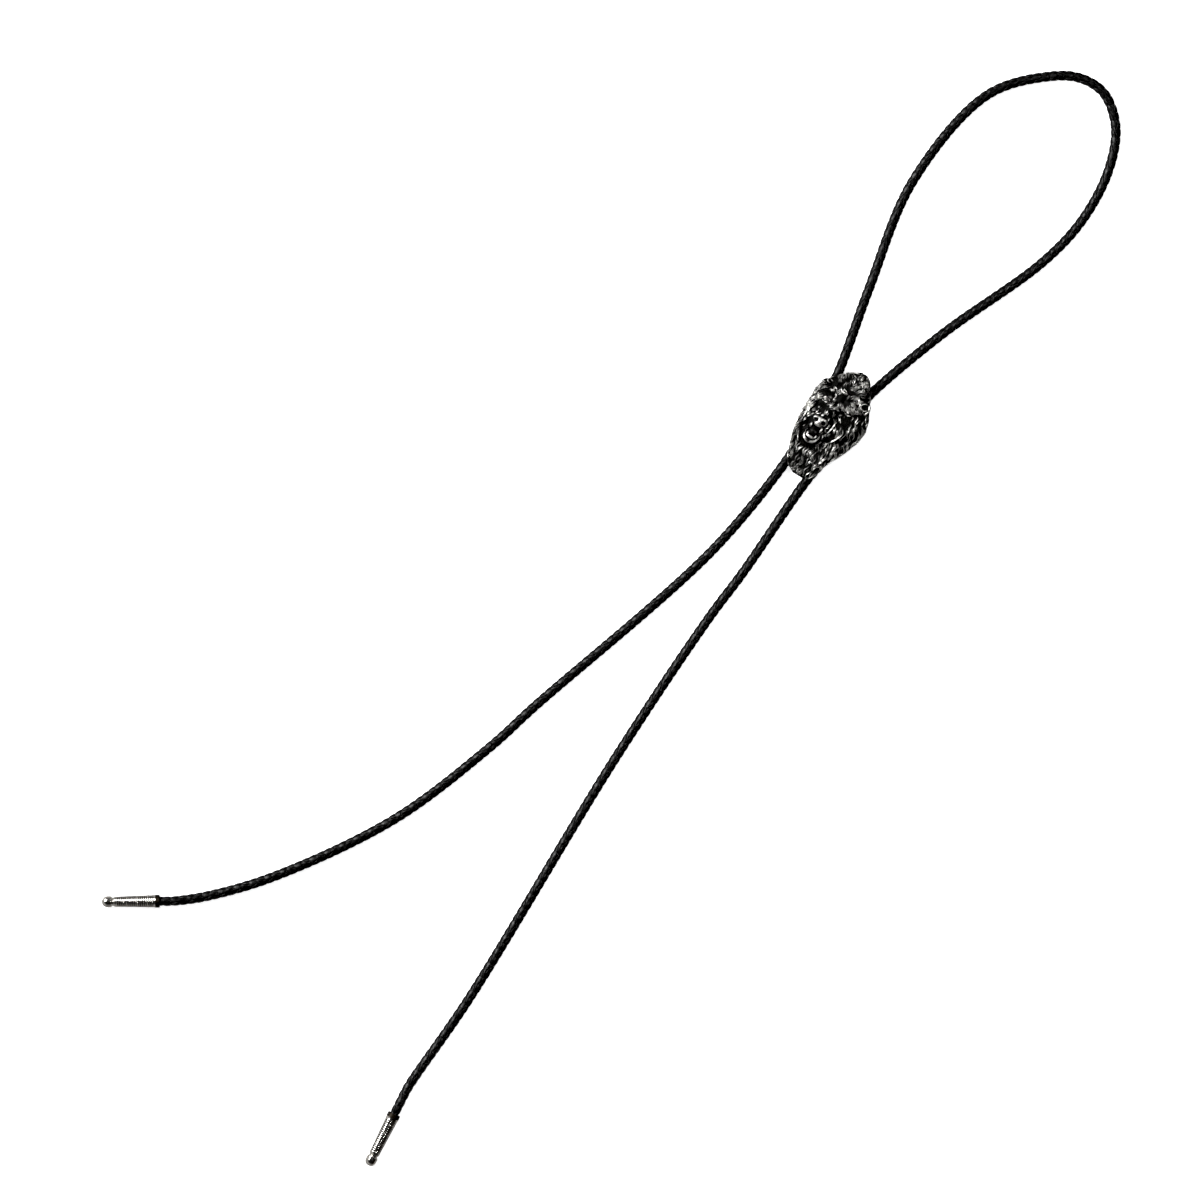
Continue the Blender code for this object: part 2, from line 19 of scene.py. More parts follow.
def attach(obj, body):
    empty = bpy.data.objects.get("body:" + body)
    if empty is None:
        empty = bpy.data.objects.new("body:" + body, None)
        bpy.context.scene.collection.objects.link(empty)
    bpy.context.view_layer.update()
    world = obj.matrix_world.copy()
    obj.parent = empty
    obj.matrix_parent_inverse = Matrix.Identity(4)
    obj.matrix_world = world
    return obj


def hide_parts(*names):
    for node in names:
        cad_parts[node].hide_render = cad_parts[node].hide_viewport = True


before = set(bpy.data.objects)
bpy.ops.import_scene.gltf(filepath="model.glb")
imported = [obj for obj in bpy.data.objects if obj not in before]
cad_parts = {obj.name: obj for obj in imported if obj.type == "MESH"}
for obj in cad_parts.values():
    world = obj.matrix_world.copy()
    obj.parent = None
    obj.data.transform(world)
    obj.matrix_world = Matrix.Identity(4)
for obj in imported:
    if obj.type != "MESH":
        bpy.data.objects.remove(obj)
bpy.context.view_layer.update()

MM = 0.001

# %% [markdown]
# ## The camera
#
# The photograph looks straight down. A long lens high above the table keeps the sides of the raised
# slide out of sight, as they are there. The tie lies at a slant in the picture, and the model's own
# +Y runs up the bear's head, so the camera is turned instead of the tie.

# %% Look straight down
PHOTO_PIXELS = 1200
PIXEL_SIZE = 0.3557 * MM
PHOTO_TURN = math.radians(32)
PHOTO_MIDDLE = (-36.6 * MM, -96.2 * MM)
CAMERA_HEIGHT = 3.0


def linked_object(name, data):
    """A new object for a mesh, a camera or a lamp, in the scene."""
    made = bpy.data.objects.new(name, data)
    bpy.context.scene.collection.objects.link(made)
    return made


lens = bpy.data.cameras.new("camera")
lens.lens = lens.sensor_width * CAMERA_HEIGHT / (PHOTO_PIXELS * PIXEL_SIZE)
camera = linked_object("camera", lens)
camera.location = (*PHOTO_MIDDLE, CAMERA_HEIGHT)
camera.rotation_euler = (0, 0, PHOTO_TURN)
bpy.context.scene.camera = camera
print("lens, mm:", round(lens.lens))

# %% [markdown]
# ## The cord's route
#
# The cord is one length of leather. It leaves the left tip, runs up through the clip, round the neck
# loop, back through the clip and down to the right tip. A few listed points along the line where it
# lies, joined by one smooth curve, look like limp leather, where straight runs and arcs would look
# like bent wire.

# %% The points that the cord passes
CORD_DIAMETER = 3.6 * MM
CORD_END_DIAMETER = 3.4 * MM
CLEARANCE = 0.3 * MM
CLIP_WALL = 0.8 * MM
CLIP_BORE = CORD_DIAMETER + 2 * CLEARANCE
CHANNEL_HEIGHT = CLIP_WALL + CLIP_BORE / 2
CLIP_LENGTH = 14.0 * MM
LEFT_RUN_X = -6.8 * MM
RIGHT_RUN_X = 4.9 * MM
CORD_HELD_PAST_CLIP = 2.5 * MM
CORD_STRAIGHT_BEFORE_TIP = 5.0 * MM
TIP_LENGTH = 20.6 * MM
TIP_WALL = 0.25 * MM
TIP_COLLAR_LENGTH = 1.5 * MM
TIP_COLLAR_STEP = 0.08 * MM
TIP_HEAD_DIAMETER = 4.0 * MM
TIP_SEAT_DEPTH = 6.0 * MM
TIPS = {
    "tip_left": ((-112.6 * MM, -269.9 * MM), math.radians(212.7)),
    "tip_right": ((-1.8 * MM, -289.8 * MM), math.radians(275.3)),
}
NECK_LOOP = [
    (-7.9, 19), (-14.3, 49), (-21.2, 89), (-15.0, 129), (0, 146.1), (9.9, 151.6), (19.8, 151.5),
    (29.7, 143.6), (35.8, 129), (37.2, 109), (33.2, 89), (16.7, 49), (6.8, 19),
]
LEFT_LEG = [
    (-6.8, -21), (-12.3, -61), (-36.4, -141), (-42.0, -161), (-57.3, -201), (-82.6, -240.7), (-99.2, -259.4),
]
RIGHT_LEG = [(3.2, -21), (1.3, -61), (-0.4, -81), (-2.2, -141), (-1.0, -241), (-2.7, -279)]

mouth_radius = CORD_END_DIAMETER / 2 + CLEARANCE + TIP_WALL
collar_radius = mouth_radius + TIP_COLLAR_STEP
head_radius = TIP_HEAD_DIAMETER / 2
tip_droop = (collar_radius - head_radius) / (TIP_LENGTH - head_radius - TIP_COLLAR_LENGTH)


def tip_axis(name):
    """Centre of a lying tip's mouth and the way from there to its head."""
    (x, y), heading = TIPS[name]
    level = math.sqrt(1 - tip_droop ** 2)
    mouth = Vector((x, y, collar_radius + TIP_COLLAR_LENGTH * tip_droop))
    return mouth, Vector((level * math.cos(heading), level * math.sin(heading), -tip_droop))


def into_tip(name):
    """The cord's last points, straight into a tip."""
    mouth, along = tip_axis(name)
    return [mouth - CORD_STRAIGHT_BEFORE_TIP * along, mouth, mouth + TIP_SEAT_DEPTH * along]


def lying(points):
    """Points on the table, at the height of the cord's centre."""
    return [Vector((x * MM, y * MM, CORD_DIAMETER / 2)) for x, y in points]


def held(run_x):
    """Points along a channel of the clip, from top to bottom."""
    reach = CLIP_LENGTH / 2
    places = (reach + CORD_HELD_PAST_CLIP, reach / 2, -reach / 2, -reach - CORD_HELD_PAST_CLIP)
    return [Vector((run_x, y, CHANNEL_HEIGHT)) for y in places]


stretches = [
    into_tip("tip_left")[::-1], lying(LEFT_LEG[::-1]), held(LEFT_RUN_X)[::-1], lying(NECK_LOOP),
    held(RIGHT_RUN_X), lying(RIGHT_LEG), into_tip("tip_right"),
]
route = [point for stretch in stretches for point in stretch]
print("route points:", len(route))

# %% [markdown]
# A Catmull-Rom curve passes through every point and bends no more than it must. The centripetal kind,
# which measures each stretch by the square root of its length, makes no loops where points lie close.
# The samples are then spread evenly, because the braid's pattern has to have one pitch all along.


# %% One smooth, evenly sampled line
def smooth_line(points, spacing):
    """Evenly spaced samples of the smooth curve through the points, and how far along each lies."""
    parts = 24
    ends = [2 * points[0] - points[1]] + points + [2 * points[-1] - points[-2]]
    fine = []
    for before, start, stop, after in zip(ends, ends[1:], ends[2:], ends[3:]):
        gaps = [(b - a).length ** 0.5 for a, b in ((before, start), (start, stop), (stop, after))]
        leave = (start - before) / gaps[0] - (stop - before) / (gaps[0] + gaps[1]) + (stop - start) / gaps[1]
        arrive = (stop - start) / gaps[1] - (after - start) / (gaps[1] + gaps[2]) + (after - stop) / gaps[2]
        for part in range(parts):
            t = part / parts
            fine.append((2 * t**3 - 3 * t**2 + 1) * start + (t**3 - 2 * t**2 + t) * leave * gaps[1]
                        + (3 * t**2 - 2 * t**3) * stop + (t**3 - t**2) * arrive * gaps[1])
    fine.append(points[-1])
    places = np.array(fine)
    travelled = np.concatenate([[0.0], np.cumsum(np.linalg.norm(np.diff(places, axis=0), axis=1))])
    stations = np.linspace(0, travelled[-1], max(round(travelled[-1] / spacing), 1) + 1)
    return np.stack([np.interp(stations, travelled, places[:, axis]) for axis in range(3)], axis=1), stations


RING_SPACING = 0.85 * MM
line, stations = smooth_line(route, RING_SPACING)
line[:, 2] = np.maximum(line[:, 2], CORD_DIAMETER / 2)
cord_length = stations[-1]
print("cord length, mm:", round(cord_length / MM, 1), "rings:", len(line))

# %% [markdown]
# ## The braid
#
# Eight flat laces make a round braid over a thin core. Four wind one way and four the other, each
# passing over one lace of the other set and under the next. It could be a bump map on a tube, but the
# lumps show in the cord's outline, so each lace is a real strap here. A lace's turn round the axis is
# a plain helix with two waves laid on it. One, with a flattened crest, lifts it over a crossing and
# dips it under the next. The other slows its turn while it lies on top, which is why the visible
# pieces run almost along the cord.

# %% How a lace travels
BRAID_PITCH = 23.0 * MM
LACES_EACH_WAY = 4
LACE_THICKNESS = 0.50 * MM
LACE_HALF_ANGLE = math.radians(45.5)
LACE_MEAN_RADIUS = 1.46 * MM
LACE_LIFT = 0.14 * MM
LACE_SNAP = 1.8
LACE_LINGER = 0.09
LACE_SIDES = 10
BRAID_TURN = math.radians(22.5)
LACE_GRAIN_SHIFT = 0.37
CORE_RADIUS = 0.75 * MM
CORE_SIDES = 6
CORE_STEP = 4


def lace_polar(stations, hand, number):
    """Angle round the cord and distance from its axis of one lace, at each station."""
    turn = 2 * math.pi * stations / BRAID_PITCH
    wave = LACES_EACH_WAY * turn
    angle = hand * (turn + 2 * math.pi * number / LACES_EACH_WAY) - LACE_LINGER * np.sin(wave) + BRAID_TURN
    height = np.tanh(LACE_SNAP * np.cos(wave)) / math.tanh(LACE_SNAP)
    return angle, LACE_MEAN_RADIUS + hand * LACE_LIFT * height


angle, radius = lace_polar(stations, 1, 0)
print("a lace's centre lies", round(radius.min() / MM, 2), "to", round(radius.max() / MM, 2), "mm out")


# %% [markdown]
# Each lace is swept as a rounded flat strap, bent round the cord as a tight lace is: its section is
# laid out in angles and distances from the cord's axis, and its edges dip. The ring of points carries
# two texture coordinates, round the strap and along it, so that the leather's grain follows the lace
# through the braid and doesn't slide when the cord bends.


# %% Sweep the laces along the route
def frames_along(line):
    """Unit sideways and upward vectors at each sample of a line that lies about level."""
    tangent = np.gradient(line, axis=0)
    side = np.cross(tangent, (0.0, 0.0, 1.0))
    side /= np.linalg.norm(side, axis=1, keepdims=True)
    up = np.cross(side, tangent)
    return side, up / np.linalg.norm(up, axis=1, keepdims=True)


def strap_section(squareness=0.45, edge_dip=0.08):
    """Section of a lace as pairs: share of its half width, and distance out of its middle layer."""
    angles = 2 * np.pi * np.arange(LACE_SIDES) / LACE_SIDES
    across = np.sign(np.cos(angles)) * np.abs(np.cos(angles)) ** squareness
    out = np.sign(np.sin(angles)) * np.abs(np.sin(angles)) ** squareness
    return across, out * LACE_THICKNESS / 2 - edge_dip * MM * across ** 2


def add_tube(bm, uv_layer, rings, marks):
    """A closed tube through rings of points, with coordinates round it and along it."""
    corners = [[bm.verts.new(place) for place in ring] for ring in rings]
    sides = len(corners[0])
    for index, (ring, following) in enumerate(zip(corners, corners[1:])):
        for i in range(sides):
            j = (i + 1) % sides
            face = bm.faces.new((ring[i], ring[j], following[j], following[i]))
            places = ((i, index), (i + 1, index), (i + 1, index + 1), (i, index + 1))
            for loop, (u, v) in zip(face.loops, places):
                loop[uv_layer].uv = (u / sides, marks[v])
    bm.faces.new(reversed(corners[0]))
    bm.faces.new(corners[-1])


def polar_rings(angles, radii, swell):
    """Points round the cord at every station, from angles and distances out with a column each. The
    leather is pressed flat where it lies on the table."""
    side, up = frames_along(line)
    out = side[:, None] * np.cos(angles)[..., None] + up[:, None] * np.sin(angles)[..., None]
    places = line[:, None] + out * (radii * swell[:, None])[..., None]
    places[..., 2] = np.maximum(places[..., 2], 0.0)
    return places


def plain_mesh(name, bm):
    """A mesh from a mesh under construction."""
    mesh = bpy.data.meshes.new(name)
    bm.to_mesh(mesh)
    bm.free()
    return mesh


def finished_object(name, bm, sharp_angle=40):
    """A linked object from a mesh under construction, shaded smooth with its sharp edges kept."""
    bmesh.ops.recalc_face_normals(bm, faces=bm.faces)
    mesh = plain_mesh(name, bm)
    mesh.shade_smooth()
    mesh.set_sharp_from_angle(angle=math.radians(sharp_angle))
    return linked_object(name, mesh)


def triangles(mesh):
    """How many triangles the faces of a mesh make."""
    return sum(len(face.vertices) - 2 for face in mesh.polygons)


NARROWING = 12.4 * MM
from_end = np.minimum(stations, cord_length - stations) - TIP_SEAT_DEPTH
end_share = CORD_END_DIAMETER / CORD_DIAMETER
swell = end_share + (1 - end_share) * np.clip(from_end / NARROWING, 0, 1)

laces = bmesh.new()
lace_uv = laces.loops.layers.uv.new("lace")
across, out = strap_section()
for hand in (1, -1):
    for number in range(LACES_EACH_WAY):
        angle, radius = lace_polar(stations, hand, number)
        rings = polar_rings(angle[:, None] + LACE_HALF_ANGLE * across, radius[:, None] + out, swell)
        add_tube(laces, lace_uv, rings, stations / CORD_DIAMETER + number * LACE_GRAIN_SHIFT)
core_angles = np.tile(np.linspace(0, 2 * np.pi, CORE_SIDES, endpoint=False), (len(stations), 1))
core = polar_rings(core_angles, np.full(core_angles.shape, CORE_RADIUS), swell)
add_tube(laces, lace_uv, core[::CORE_STEP], stations[::CORE_STEP] / CORD_DIAMETER)
cord = finished_object("braided_cord", laces, 60)
print("braid triangles:", triangles(cord.data))

# %% [markdown]
# ## Shared effects for the materials
#
# Leather, pewter, nickel silver and steel look nothing alike, yet the same two effects make each of
# them believable: a fine grain, and a difference between what stands proud and what lies deep. Both
# are node groups, built once and given other values in each material. They put out plain masks and
# heights, and every material keeps its own shader.


# %% Helpers that add nodes
def node(tree, kind, inputs=None, **settings):
    """A node with its settings made and its inputs set to values or linked to sockets."""
    made = tree.nodes.new(kind)
    made.location = (190 * len(tree.nodes), -40 * (len(tree.nodes) % 5))
    for name, value in settings.items():
        setattr(made, name, value)
    for key, value in (inputs or {}).items():
        if isinstance(value, bpy.types.NodeSocket):
            tree.links.new(value, made.inputs[key])
        else:
            made.inputs[key].default_value = value
    return made


def maths(tree, operation, *values):
    """The result of a math node."""
    return node(tree, "ShaderNodeMath", dict(enumerate(values)), operation=operation).outputs[0]


def ramp(tree, value, source=(0.0, 1.0), target=(0.0, 1.0), **settings):
    """A value carried over from a source range to a target range."""
    limits = {"From Min": source[0], "From Max": source[1], "To Min": target[0], "To Max": target[1]}
    return node(tree, "ShaderNodeMapRange", {"Value": value, **limits}, **settings).outputs["Result"]


def blend(tree, share, low, high):
    """A colour between two, by a share that changes over the surface."""
    ends = {"Factor": share, "A": (*low, 1), "B": (*high, 1)}
    return node(tree, "ShaderNodeMix", ends, data_type="RGBA").outputs["Result"]


def effect_group(name, inputs, outputs):
    """An empty shader group with its input and output nodes. An input with no value is a vector."""
    group = bpy.data.node_groups.new(name, "ShaderNodeTree")
    for label, value in inputs.items():
        kind = "NodeSocketVector" if value is None else "NodeSocketFloat"
        socket = group.interface.new_socket(label, in_out="INPUT", socket_type=kind)
        if value is not None:
            socket.default_value = value
    for label in outputs:
        group.interface.new_socket(label, in_out="OUTPUT", socket_type="NodeSocketFloat")
    return group, group.nodes.new("NodeGroupInput"), group.nodes.new("NodeGroupOutput")


def use_group(tree, group, inputs):
    """An effect placed in a material."""
    return node(tree, "ShaderNodeGroup", inputs, node_tree=group)


def lead_in(tree, shader, color, gloss, grain, strength, depth):
    """Leads colour, roughness and a bump of the fine grain into a material's own shader."""
    bump = node(tree, "ShaderNodeBump", {"Height": grain.outputs["Height"], "Strength": strength,
                                        "Distance": depth})
    for socket, source in (("Base Color", color), ("Roughness", gloss), ("Normal", bump.outputs["Normal"])):
        tree.links.new(source, shader.inputs[socket])


print("node helpers are ready")

# %% [markdown]
# **Fine grain.** A hide is a net of small cells, and a cast or turned surface is a fine random
# roughness. One group mixes the two: cells from a Voronoi texture and roughness from noise. A second,
# much larger noise gives the slow changes of tone that keep a surface from looking printed.

# %% The fine grain group
grain_group, start, end = effect_group(
    "fine_grain", {"Vector": None, "Scale": 1000.0, "Cells": 0.5, "Tone Scale": 60.0}, ["Height", "Tone"])
place = {"Vector": start.outputs["Vector"], "Scale": start.outputs["Scale"]}
cells = node(grain_group, "ShaderNodeTexVoronoi", place, feature="SMOOTH_F1")
rough = node(grain_group, "ShaderNodeTexNoise", {**place, "Detail": 3.0})
height = node(grain_group, "ShaderNodeMix", {"Factor": start.outputs["Cells"], "A": rough.outputs["Fac"],
                                            "B": cells.outputs["Distance"]})
tone = node(grain_group, "ShaderNodeTexNoise", {"Vector": start.outputs["Vector"],
                                               "Scale": start.outputs["Tone Scale"], "Detail": 4.0})
grain_group.links.new(height.outputs["Result"], end.inputs["Height"])
grain_group.links.new(tone.outputs["Fac"], end.inputs["Tone"])


def fine_grain(tree, vector, scale, cells, tone_scale):
    """The fine grain placed in a material."""
    return use_group(tree, grain_group, {"Vector": vector, "Scale": scale, "Cells": cells,
                                        "Tone Scale": tone_scale})


print("fine_grain:", len(grain_group.nodes), "nodes")

# %% [markdown]
# ** Rubbed edges.** Handling polishes whatever stands out and leaves the dirt and the blackening in
# the hollows. Each metal piece stores a number for every point of its surface, its relief: above 0
# on ridges and below 0 in valleys. In some places the relief is also raised as a painted highlight,
# and in others lowered as a painted shade. The group turns it into one mask, with a soft broken border.

# %% The rubbed edges group
rub_group, start, end = effect_group(
    "rubbed_edges",
    {"Relief": 0.0, "Low": 0.0, "High": 1.0, "Vector": None, "Patch Scale": 300.0, "Patchiness": 0.4},
    ["Rubbed"])
patches = node(rub_group, "ShaderNodeTexNoise", {"Vector": start.outputs["Vector"],
                                                "Scale": start.outputs["Patch Scale"], "Detail": 3.0})
spread = maths(rub_group, "SUBTRACT", patches.outputs["Fac"], 0.5)
shift = maths(rub_group, "MULTIPLY_ADD", spread, start.outputs["Patchiness"], start.outputs["Relief"])
limits = (start.outputs["Low"], start.outputs["High"])
rubbed = ramp(rub_group, shift, limits, interpolation_type="SMOOTHSTEP")
rub_group.links.new(rubbed, end.inputs["Rubbed"])


def store_relief(obj, relief):
    """Stores a relief for every point of a piece."""
    stored = obj.data.attributes.new("relief", "FLOAT", "POINT")
    stored.data.foreach_set("value", relief.astype(np.float32))


def rubbed_and_painted_mask(tree, place, low, high, patch_scale, patchiness):
    """The rubbed mask of a metal from the relief its piece stores, which carries painted light in places."""
    stored = node(tree, "ShaderNodeAttribute", attribute_name="relief")
    rub = use_group(tree, rub_group, {"Relief": stored.outputs["Fac"], "Low": low, "High": high,
                                     "Vector": place, "Patch Scale": patch_scale, "Patchiness": patchiness})
    return rub.outputs["Rubbed"]


print("rubbed_edges:", len(rub_group.nodes), "nodes")

# %% [markdown]
# ## Black leather
#
# The laces are dyed through and waxed. Leather like this is almost black, and what the eye reads is
# the wax: a broad soft gloss broken by the pores, and dull lighter scuffs scattered over the laces.
# The grain uses the lace's own coordinates.

# %% The leather material
LEATHER_BLACK = (0.0012, 0.0011, 0.0011)
LEATHER_SCUFF = (0.010, 0.0095, 0.009)


def new_material(name):
    """An empty node material, its Principled shader and the tree that holds them."""
    material = bpy.data.materials.new(name)
    material.use_nodes = True
    return material, material.node_tree, material.node_tree.nodes["Principled BSDF"]


leather, tree, shader = new_material("waxed_black_leather")
lace_map = node(tree, "ShaderNodeUVMap", uv_map="lace")
stretch = node(tree, "ShaderNodeMapping", {"Vector": lace_map.outputs["UV"], "Scale": (5.0, 1.0, 1.0)})
grain = fine_grain(tree, stretch.outputs["Vector"], scale=5.0, cells=0.5, tone_scale=1.7)
scuffs = ramp(tree, grain.outputs["Tone"], (0.54, 0.72))
color = blend(tree, scuffs, LEATHER_BLACK, LEATHER_SCUFF)
gloss = ramp(tree, grain.outputs["Tone"], (0.3, 0.7), (0.22, 0.42))
lead_in(tree, shader, color, gloss, grain, strength=0.8, depth=0.12 * MM)
shader.inputs["Specular IOR Level"].default_value = 0.14
cord.data.materials.append(leather)
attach(cord, "root")
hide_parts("cord")
print(leather.name, len(tree.nodes), "nodes")

# %% [markdown]
# ## Helpers for Geometry Nodes
#
# What is turned or swept in this model comes from trees of Geometry Nodes. Each tree has named inputs,
# runs once on a small object, and leaves a plain mesh behind, so that nothing has to be worked out
# again when the scene is opened. Its last nodes make instances real and set the material.


# %% Build a tree, end it with a sweep and run it
def geometry_tree(name, inputs):
    """A Geometry Nodes tree with the named inputs after its geometry, and its two end nodes."""
    tree = bpy.data.node_groups.new(name, "GeometryNodeTree")
    tree.interface.new_socket("Geometry", in_out="INPUT", socket_type="NodeSocketGeometry")
    for label, kind in inputs:
        tree.interface.new_socket(label, in_out="INPUT", socket_type=kind)
    tree.interface.new_socket("Geometry", in_out="OUTPUT", socket_type="NodeSocketGeometry")
    return tree, tree.nodes.new("NodeGroupInput"), tree.nodes.new("NodeGroupOutput")


def end_with_sweep(tree, start, end, curve, scale):
    """The last nodes of a tree: a circle swept along curves, made real and given its material."""
    sides = start.outputs["Sides"]
    circle = node(tree, "GeometryNodeCurvePrimitiveCircle", {"Resolution": sides, "Radius": 1.0})
    swept = node(tree, "GeometryNodeCurveToMesh", {"Curve": curve, "Profile Curve": circle.outputs["Curve"],
                                                  "Scale": scale, "Fill Caps": True})
    real = node(tree, "GeometryNodeRealizeInstances", {"Geometry": swept.outputs["Mesh"]})
    dressed = node(tree, "GeometryNodeSetMaterial", {"Geometry": real.outputs["Geometry"],
                                                    "Material": start.outputs["Material"]})
    tree.links.new(dressed.outputs["Geometry"], end.inputs["Geometry"])


def baked_mesh(obj):
    """The mesh that an object's modifiers make. The object itself is removed."""
    graph = bpy.context.evaluated_depsgraph_get()
    mesh = bpy.data.meshes.new_from_object(obj.evaluated_get(graph))
    bpy.data.objects.remove(obj)
    return mesh


def run_tree(obj, tree, values):
    """The mesh that a tree makes of an object, its inputs set by their identifiers."""
    modifier = obj.modifiers.new(tree.name, "NODES")
    modifier.node_group = tree
    for socket in tree.interface.items_tree:
        if socket.in_out == "INPUT" and socket.name in values:
            modifier[socket.identifier] = values[socket.name]
    return baked_mesh(obj)


print("helpers for Geometry Nodes are ready")

# %% [markdown]
# ## The metal tips
#
# Each tip is drawn from thin tube and knurled with fine rings. It has a plain collar at the mouth, a
# slow taper, a groove and a round head that keeps the end from fraying a shirt. A lathe makes it from
# one profile, and so does the tree: a line through the tip is cut into fine steps, and a circle is
# swept along it, scaled by a curve that is the profile and by a wave that is the rings. Every fifth
# ring is bolder, which shows in the photograph as a second, slower rhythm.

# %% The profile of a tip
TIP_NECK_DIAMETER = 3.7 * MM
TIP_HEAD_LENGTH = 4.0 * MM
TIP_GROOVE_DEPTH = 0.35 * MM
TIP_GROOVE_WIDTH = 1.2 * MM
TIP_GROOVE_FLOOR = 0.4 * MM
TIP_COLLAR_SLOPE = 0.4 * MM
TIP_RIM = 0.12 * MM
RING_PITCH = 0.74 * MM
RING_HEIGHT = 0.15 * MM
RING_SINK = 0.9
RING_BOLDNESS = 0.5
RINGS_TO_A_BOLD_ONE = 5
# Relief taken off the collar, which paints it dark: painted shade.
COLLAR_PAINTED_SHADE = 0.5
DOME_STEPS = 9
TIP_END_RADIUS = 0.05 * MM


def tip_outline():
    """The tip's outside as pairs of distance from the mouth and radius, mouth first."""
    neck = TIP_NECK_DIAMETER / 2
    groove = TIP_LENGTH - TIP_HEAD_LENGTH
    outline = [
        (0.0, collar_radius - TIP_RIM), (TIP_RIM, collar_radius), (TIP_COLLAR_LENGTH, collar_radius),
        (TIP_COLLAR_LENGTH + TIP_COLLAR_SLOPE, mouth_radius), (groove - TIP_GROOVE_WIDTH / 2, neck),
        (groove - TIP_GROOVE_FLOOR / 2, neck - TIP_GROOVE_DEPTH),
        (groove + TIP_GROOVE_FLOOR / 2, neck - TIP_GROOVE_DEPTH),
        (groove + TIP_GROOVE_WIDTH / 2, head_radius - TIP_RIM),
        (groove + TIP_GROOVE_WIDTH / 2 + TIP_RIM, head_radius),
    ]
    for step in range(DOME_STEPS + 1):
        turn = math.pi / 2 * step / DOME_STEPS
        radius = max(head_radius * math.cos(turn), TIP_END_RADIUS)
        outline.append((TIP_LENGTH - head_radius + head_radius * math.sin(turn), radius))
    return outline


outline = tip_outline()
ring_start = TIP_COLLAR_LENGTH + 2 * TIP_COLLAR_SLOPE
ring_stop = TIP_LENGTH - TIP_HEAD_LENGTH - TIP_GROOVE_WIDTH
print("profile points:", len(outline), "rings:", int((ring_stop - ring_start) / RING_PITCH))

# %% The tree that turns a ringed tip
ferrule, start, end = geometry_tree("ribbed_ferrule", [
    ("Sides", "NodeSocketInt"), ("Steps", "NodeSocketInt"), ("Ring Pitch", "NodeSocketFloat"),
    ("Ring Height", "NodeSocketFloat"), ("Material", "NodeSocketMaterial")])
axis = node(ferrule, "GeometryNodeCurvePrimitiveLine", {"Start": (0, 0, 0), "End": (0, 0, TIP_LENGTH)})
steps = node(ferrule, "GeometryNodeResampleCurve", {"Curve": axis.outputs["Curve"],
                                                   "Count": start.outputs["Steps"]})
along = node(ferrule, "GeometryNodeSplineParameter")
reach = along.outputs["Length"]
profile = node(ferrule, "ShaderNodeFloatCurve", {"Value": along.outputs["Factor"]})
drawn = profile.mapping.curves[0]
while len(drawn.points) < len(outline):
    drawn.points.new(0.5, 0.5)
for point, (distance, radius) in zip(drawn.points, outline):
    point.location = (distance / TIP_LENGTH, radius / (2 * collar_radius))
    point.handle_type = "VECTOR"
profile.mapping.update()
plain = maths(ferrule, "MULTIPLY", profile.outputs[0], 2 * collar_radius)
count = maths(ferrule, "DIVIDE", reach, start.outputs["Ring Pitch"])
wave = maths(ferrule, "ABSOLUTE", maths(ferrule, "SINE", maths(ferrule, "MULTIPLY", count, math.pi)))
turn = maths(ferrule, "MODULO", maths(ferrule, "FLOOR", count), RINGS_TO_A_BOLD_ONE)
bold = maths(ferrule, "MULTIPLY_ADD", maths(ferrule, "LESS_THAN", turn, 0.5), RING_BOLDNESS, 1.0)
ringed = maths(ferrule, "MULTIPLY", maths(ferrule, "GREATER_THAN", reach, ring_start),
               maths(ferrule, "LESS_THAN", reach, ring_stop))
height = maths(ferrule, "MULTIPLY", start.outputs["Ring Height"],
               maths(ferrule, "MULTIPLY_ADD", wave, bold, -RING_SINK))
turned = maths(ferrule, "MULTIPLY_ADD", height, ringed, plain)
end_with_sweep(ferrule, start, end, steps.outputs["Curve"], turned)
print(ferrule.name, "has", len(ferrule.nodes), "nodes")

# %% [markdown]
# ** Nickel silver.** The bright metal of such tips is a little warm. Its rings keep their polish on the
# crests, while a brown film stays in the grooves, and fine turning marks run round the tube. The
# collar is painted with the same dark brown, a painted shade. A tip's relief needs no measuring: it is
# how far a ring stands over the plain profile, lowered on the collar for that painted shade.

# %% The tips' material
# Brown film in the grooves, and painted shade on the collar.
BROWN_FILM_AND_SHADE = (0.016, 0.013, 0.010)
NICKEL_SILVER = (0.83, 0.80, 0.75)
nickel, tree, shader = new_material("nickel_silver")
place = node(tree, "ShaderNodeTexCoord").outputs["Object"]
rub = rubbed_and_painted_mask(tree, place, low=-0.30, high=0.05, patch_scale=500.0, patchiness=0.4)
marks = node(tree, "ShaderNodeMapping", {"Vector": place, "Scale": (0.15, 0.15, 1.0)})
grain = fine_grain(tree, marks.outputs["Vector"], scale=15000.0, cells=0.0, tone_scale=300.0)
color = blend(tree, rub, BROWN_FILM_AND_SHADE, NICKEL_SILVER)
gloss = ramp(tree, rub, target=(0.45, 0.14))
lead_in(tree, shader, color, gloss, grain, strength=0.25, depth=0.01 * MM)
shader.inputs["Metallic"].default_value = 1.0
print(nickel.name, len(tree.nodes), "nodes")

# %% [markdown]
# The tree leaves a solid bar. A boolean drills the bore that the cord is glued into, so the mouth is
# a real thin rim, and the finished tip is laid where the route ends.


# %% Turn, drill and lay both tips
TIP_SIDES = 44
TIP_STEPS = 420
BORE_SIDES = 48
WELD = 0.002 * MM


def cut_out(mesh, tool_mesh):
    """The mesh with another closed mesh cut out of it."""
    tool, block = linked_object("tool", tool_mesh), linked_object("block", mesh)
    cut = block.modifiers.new("cut", "BOOLEAN")
    cut.operation = "DIFFERENCE"
    cut.object = tool
    result = baked_mesh(block)
    bpy.data.objects.remove(tool)
    return result


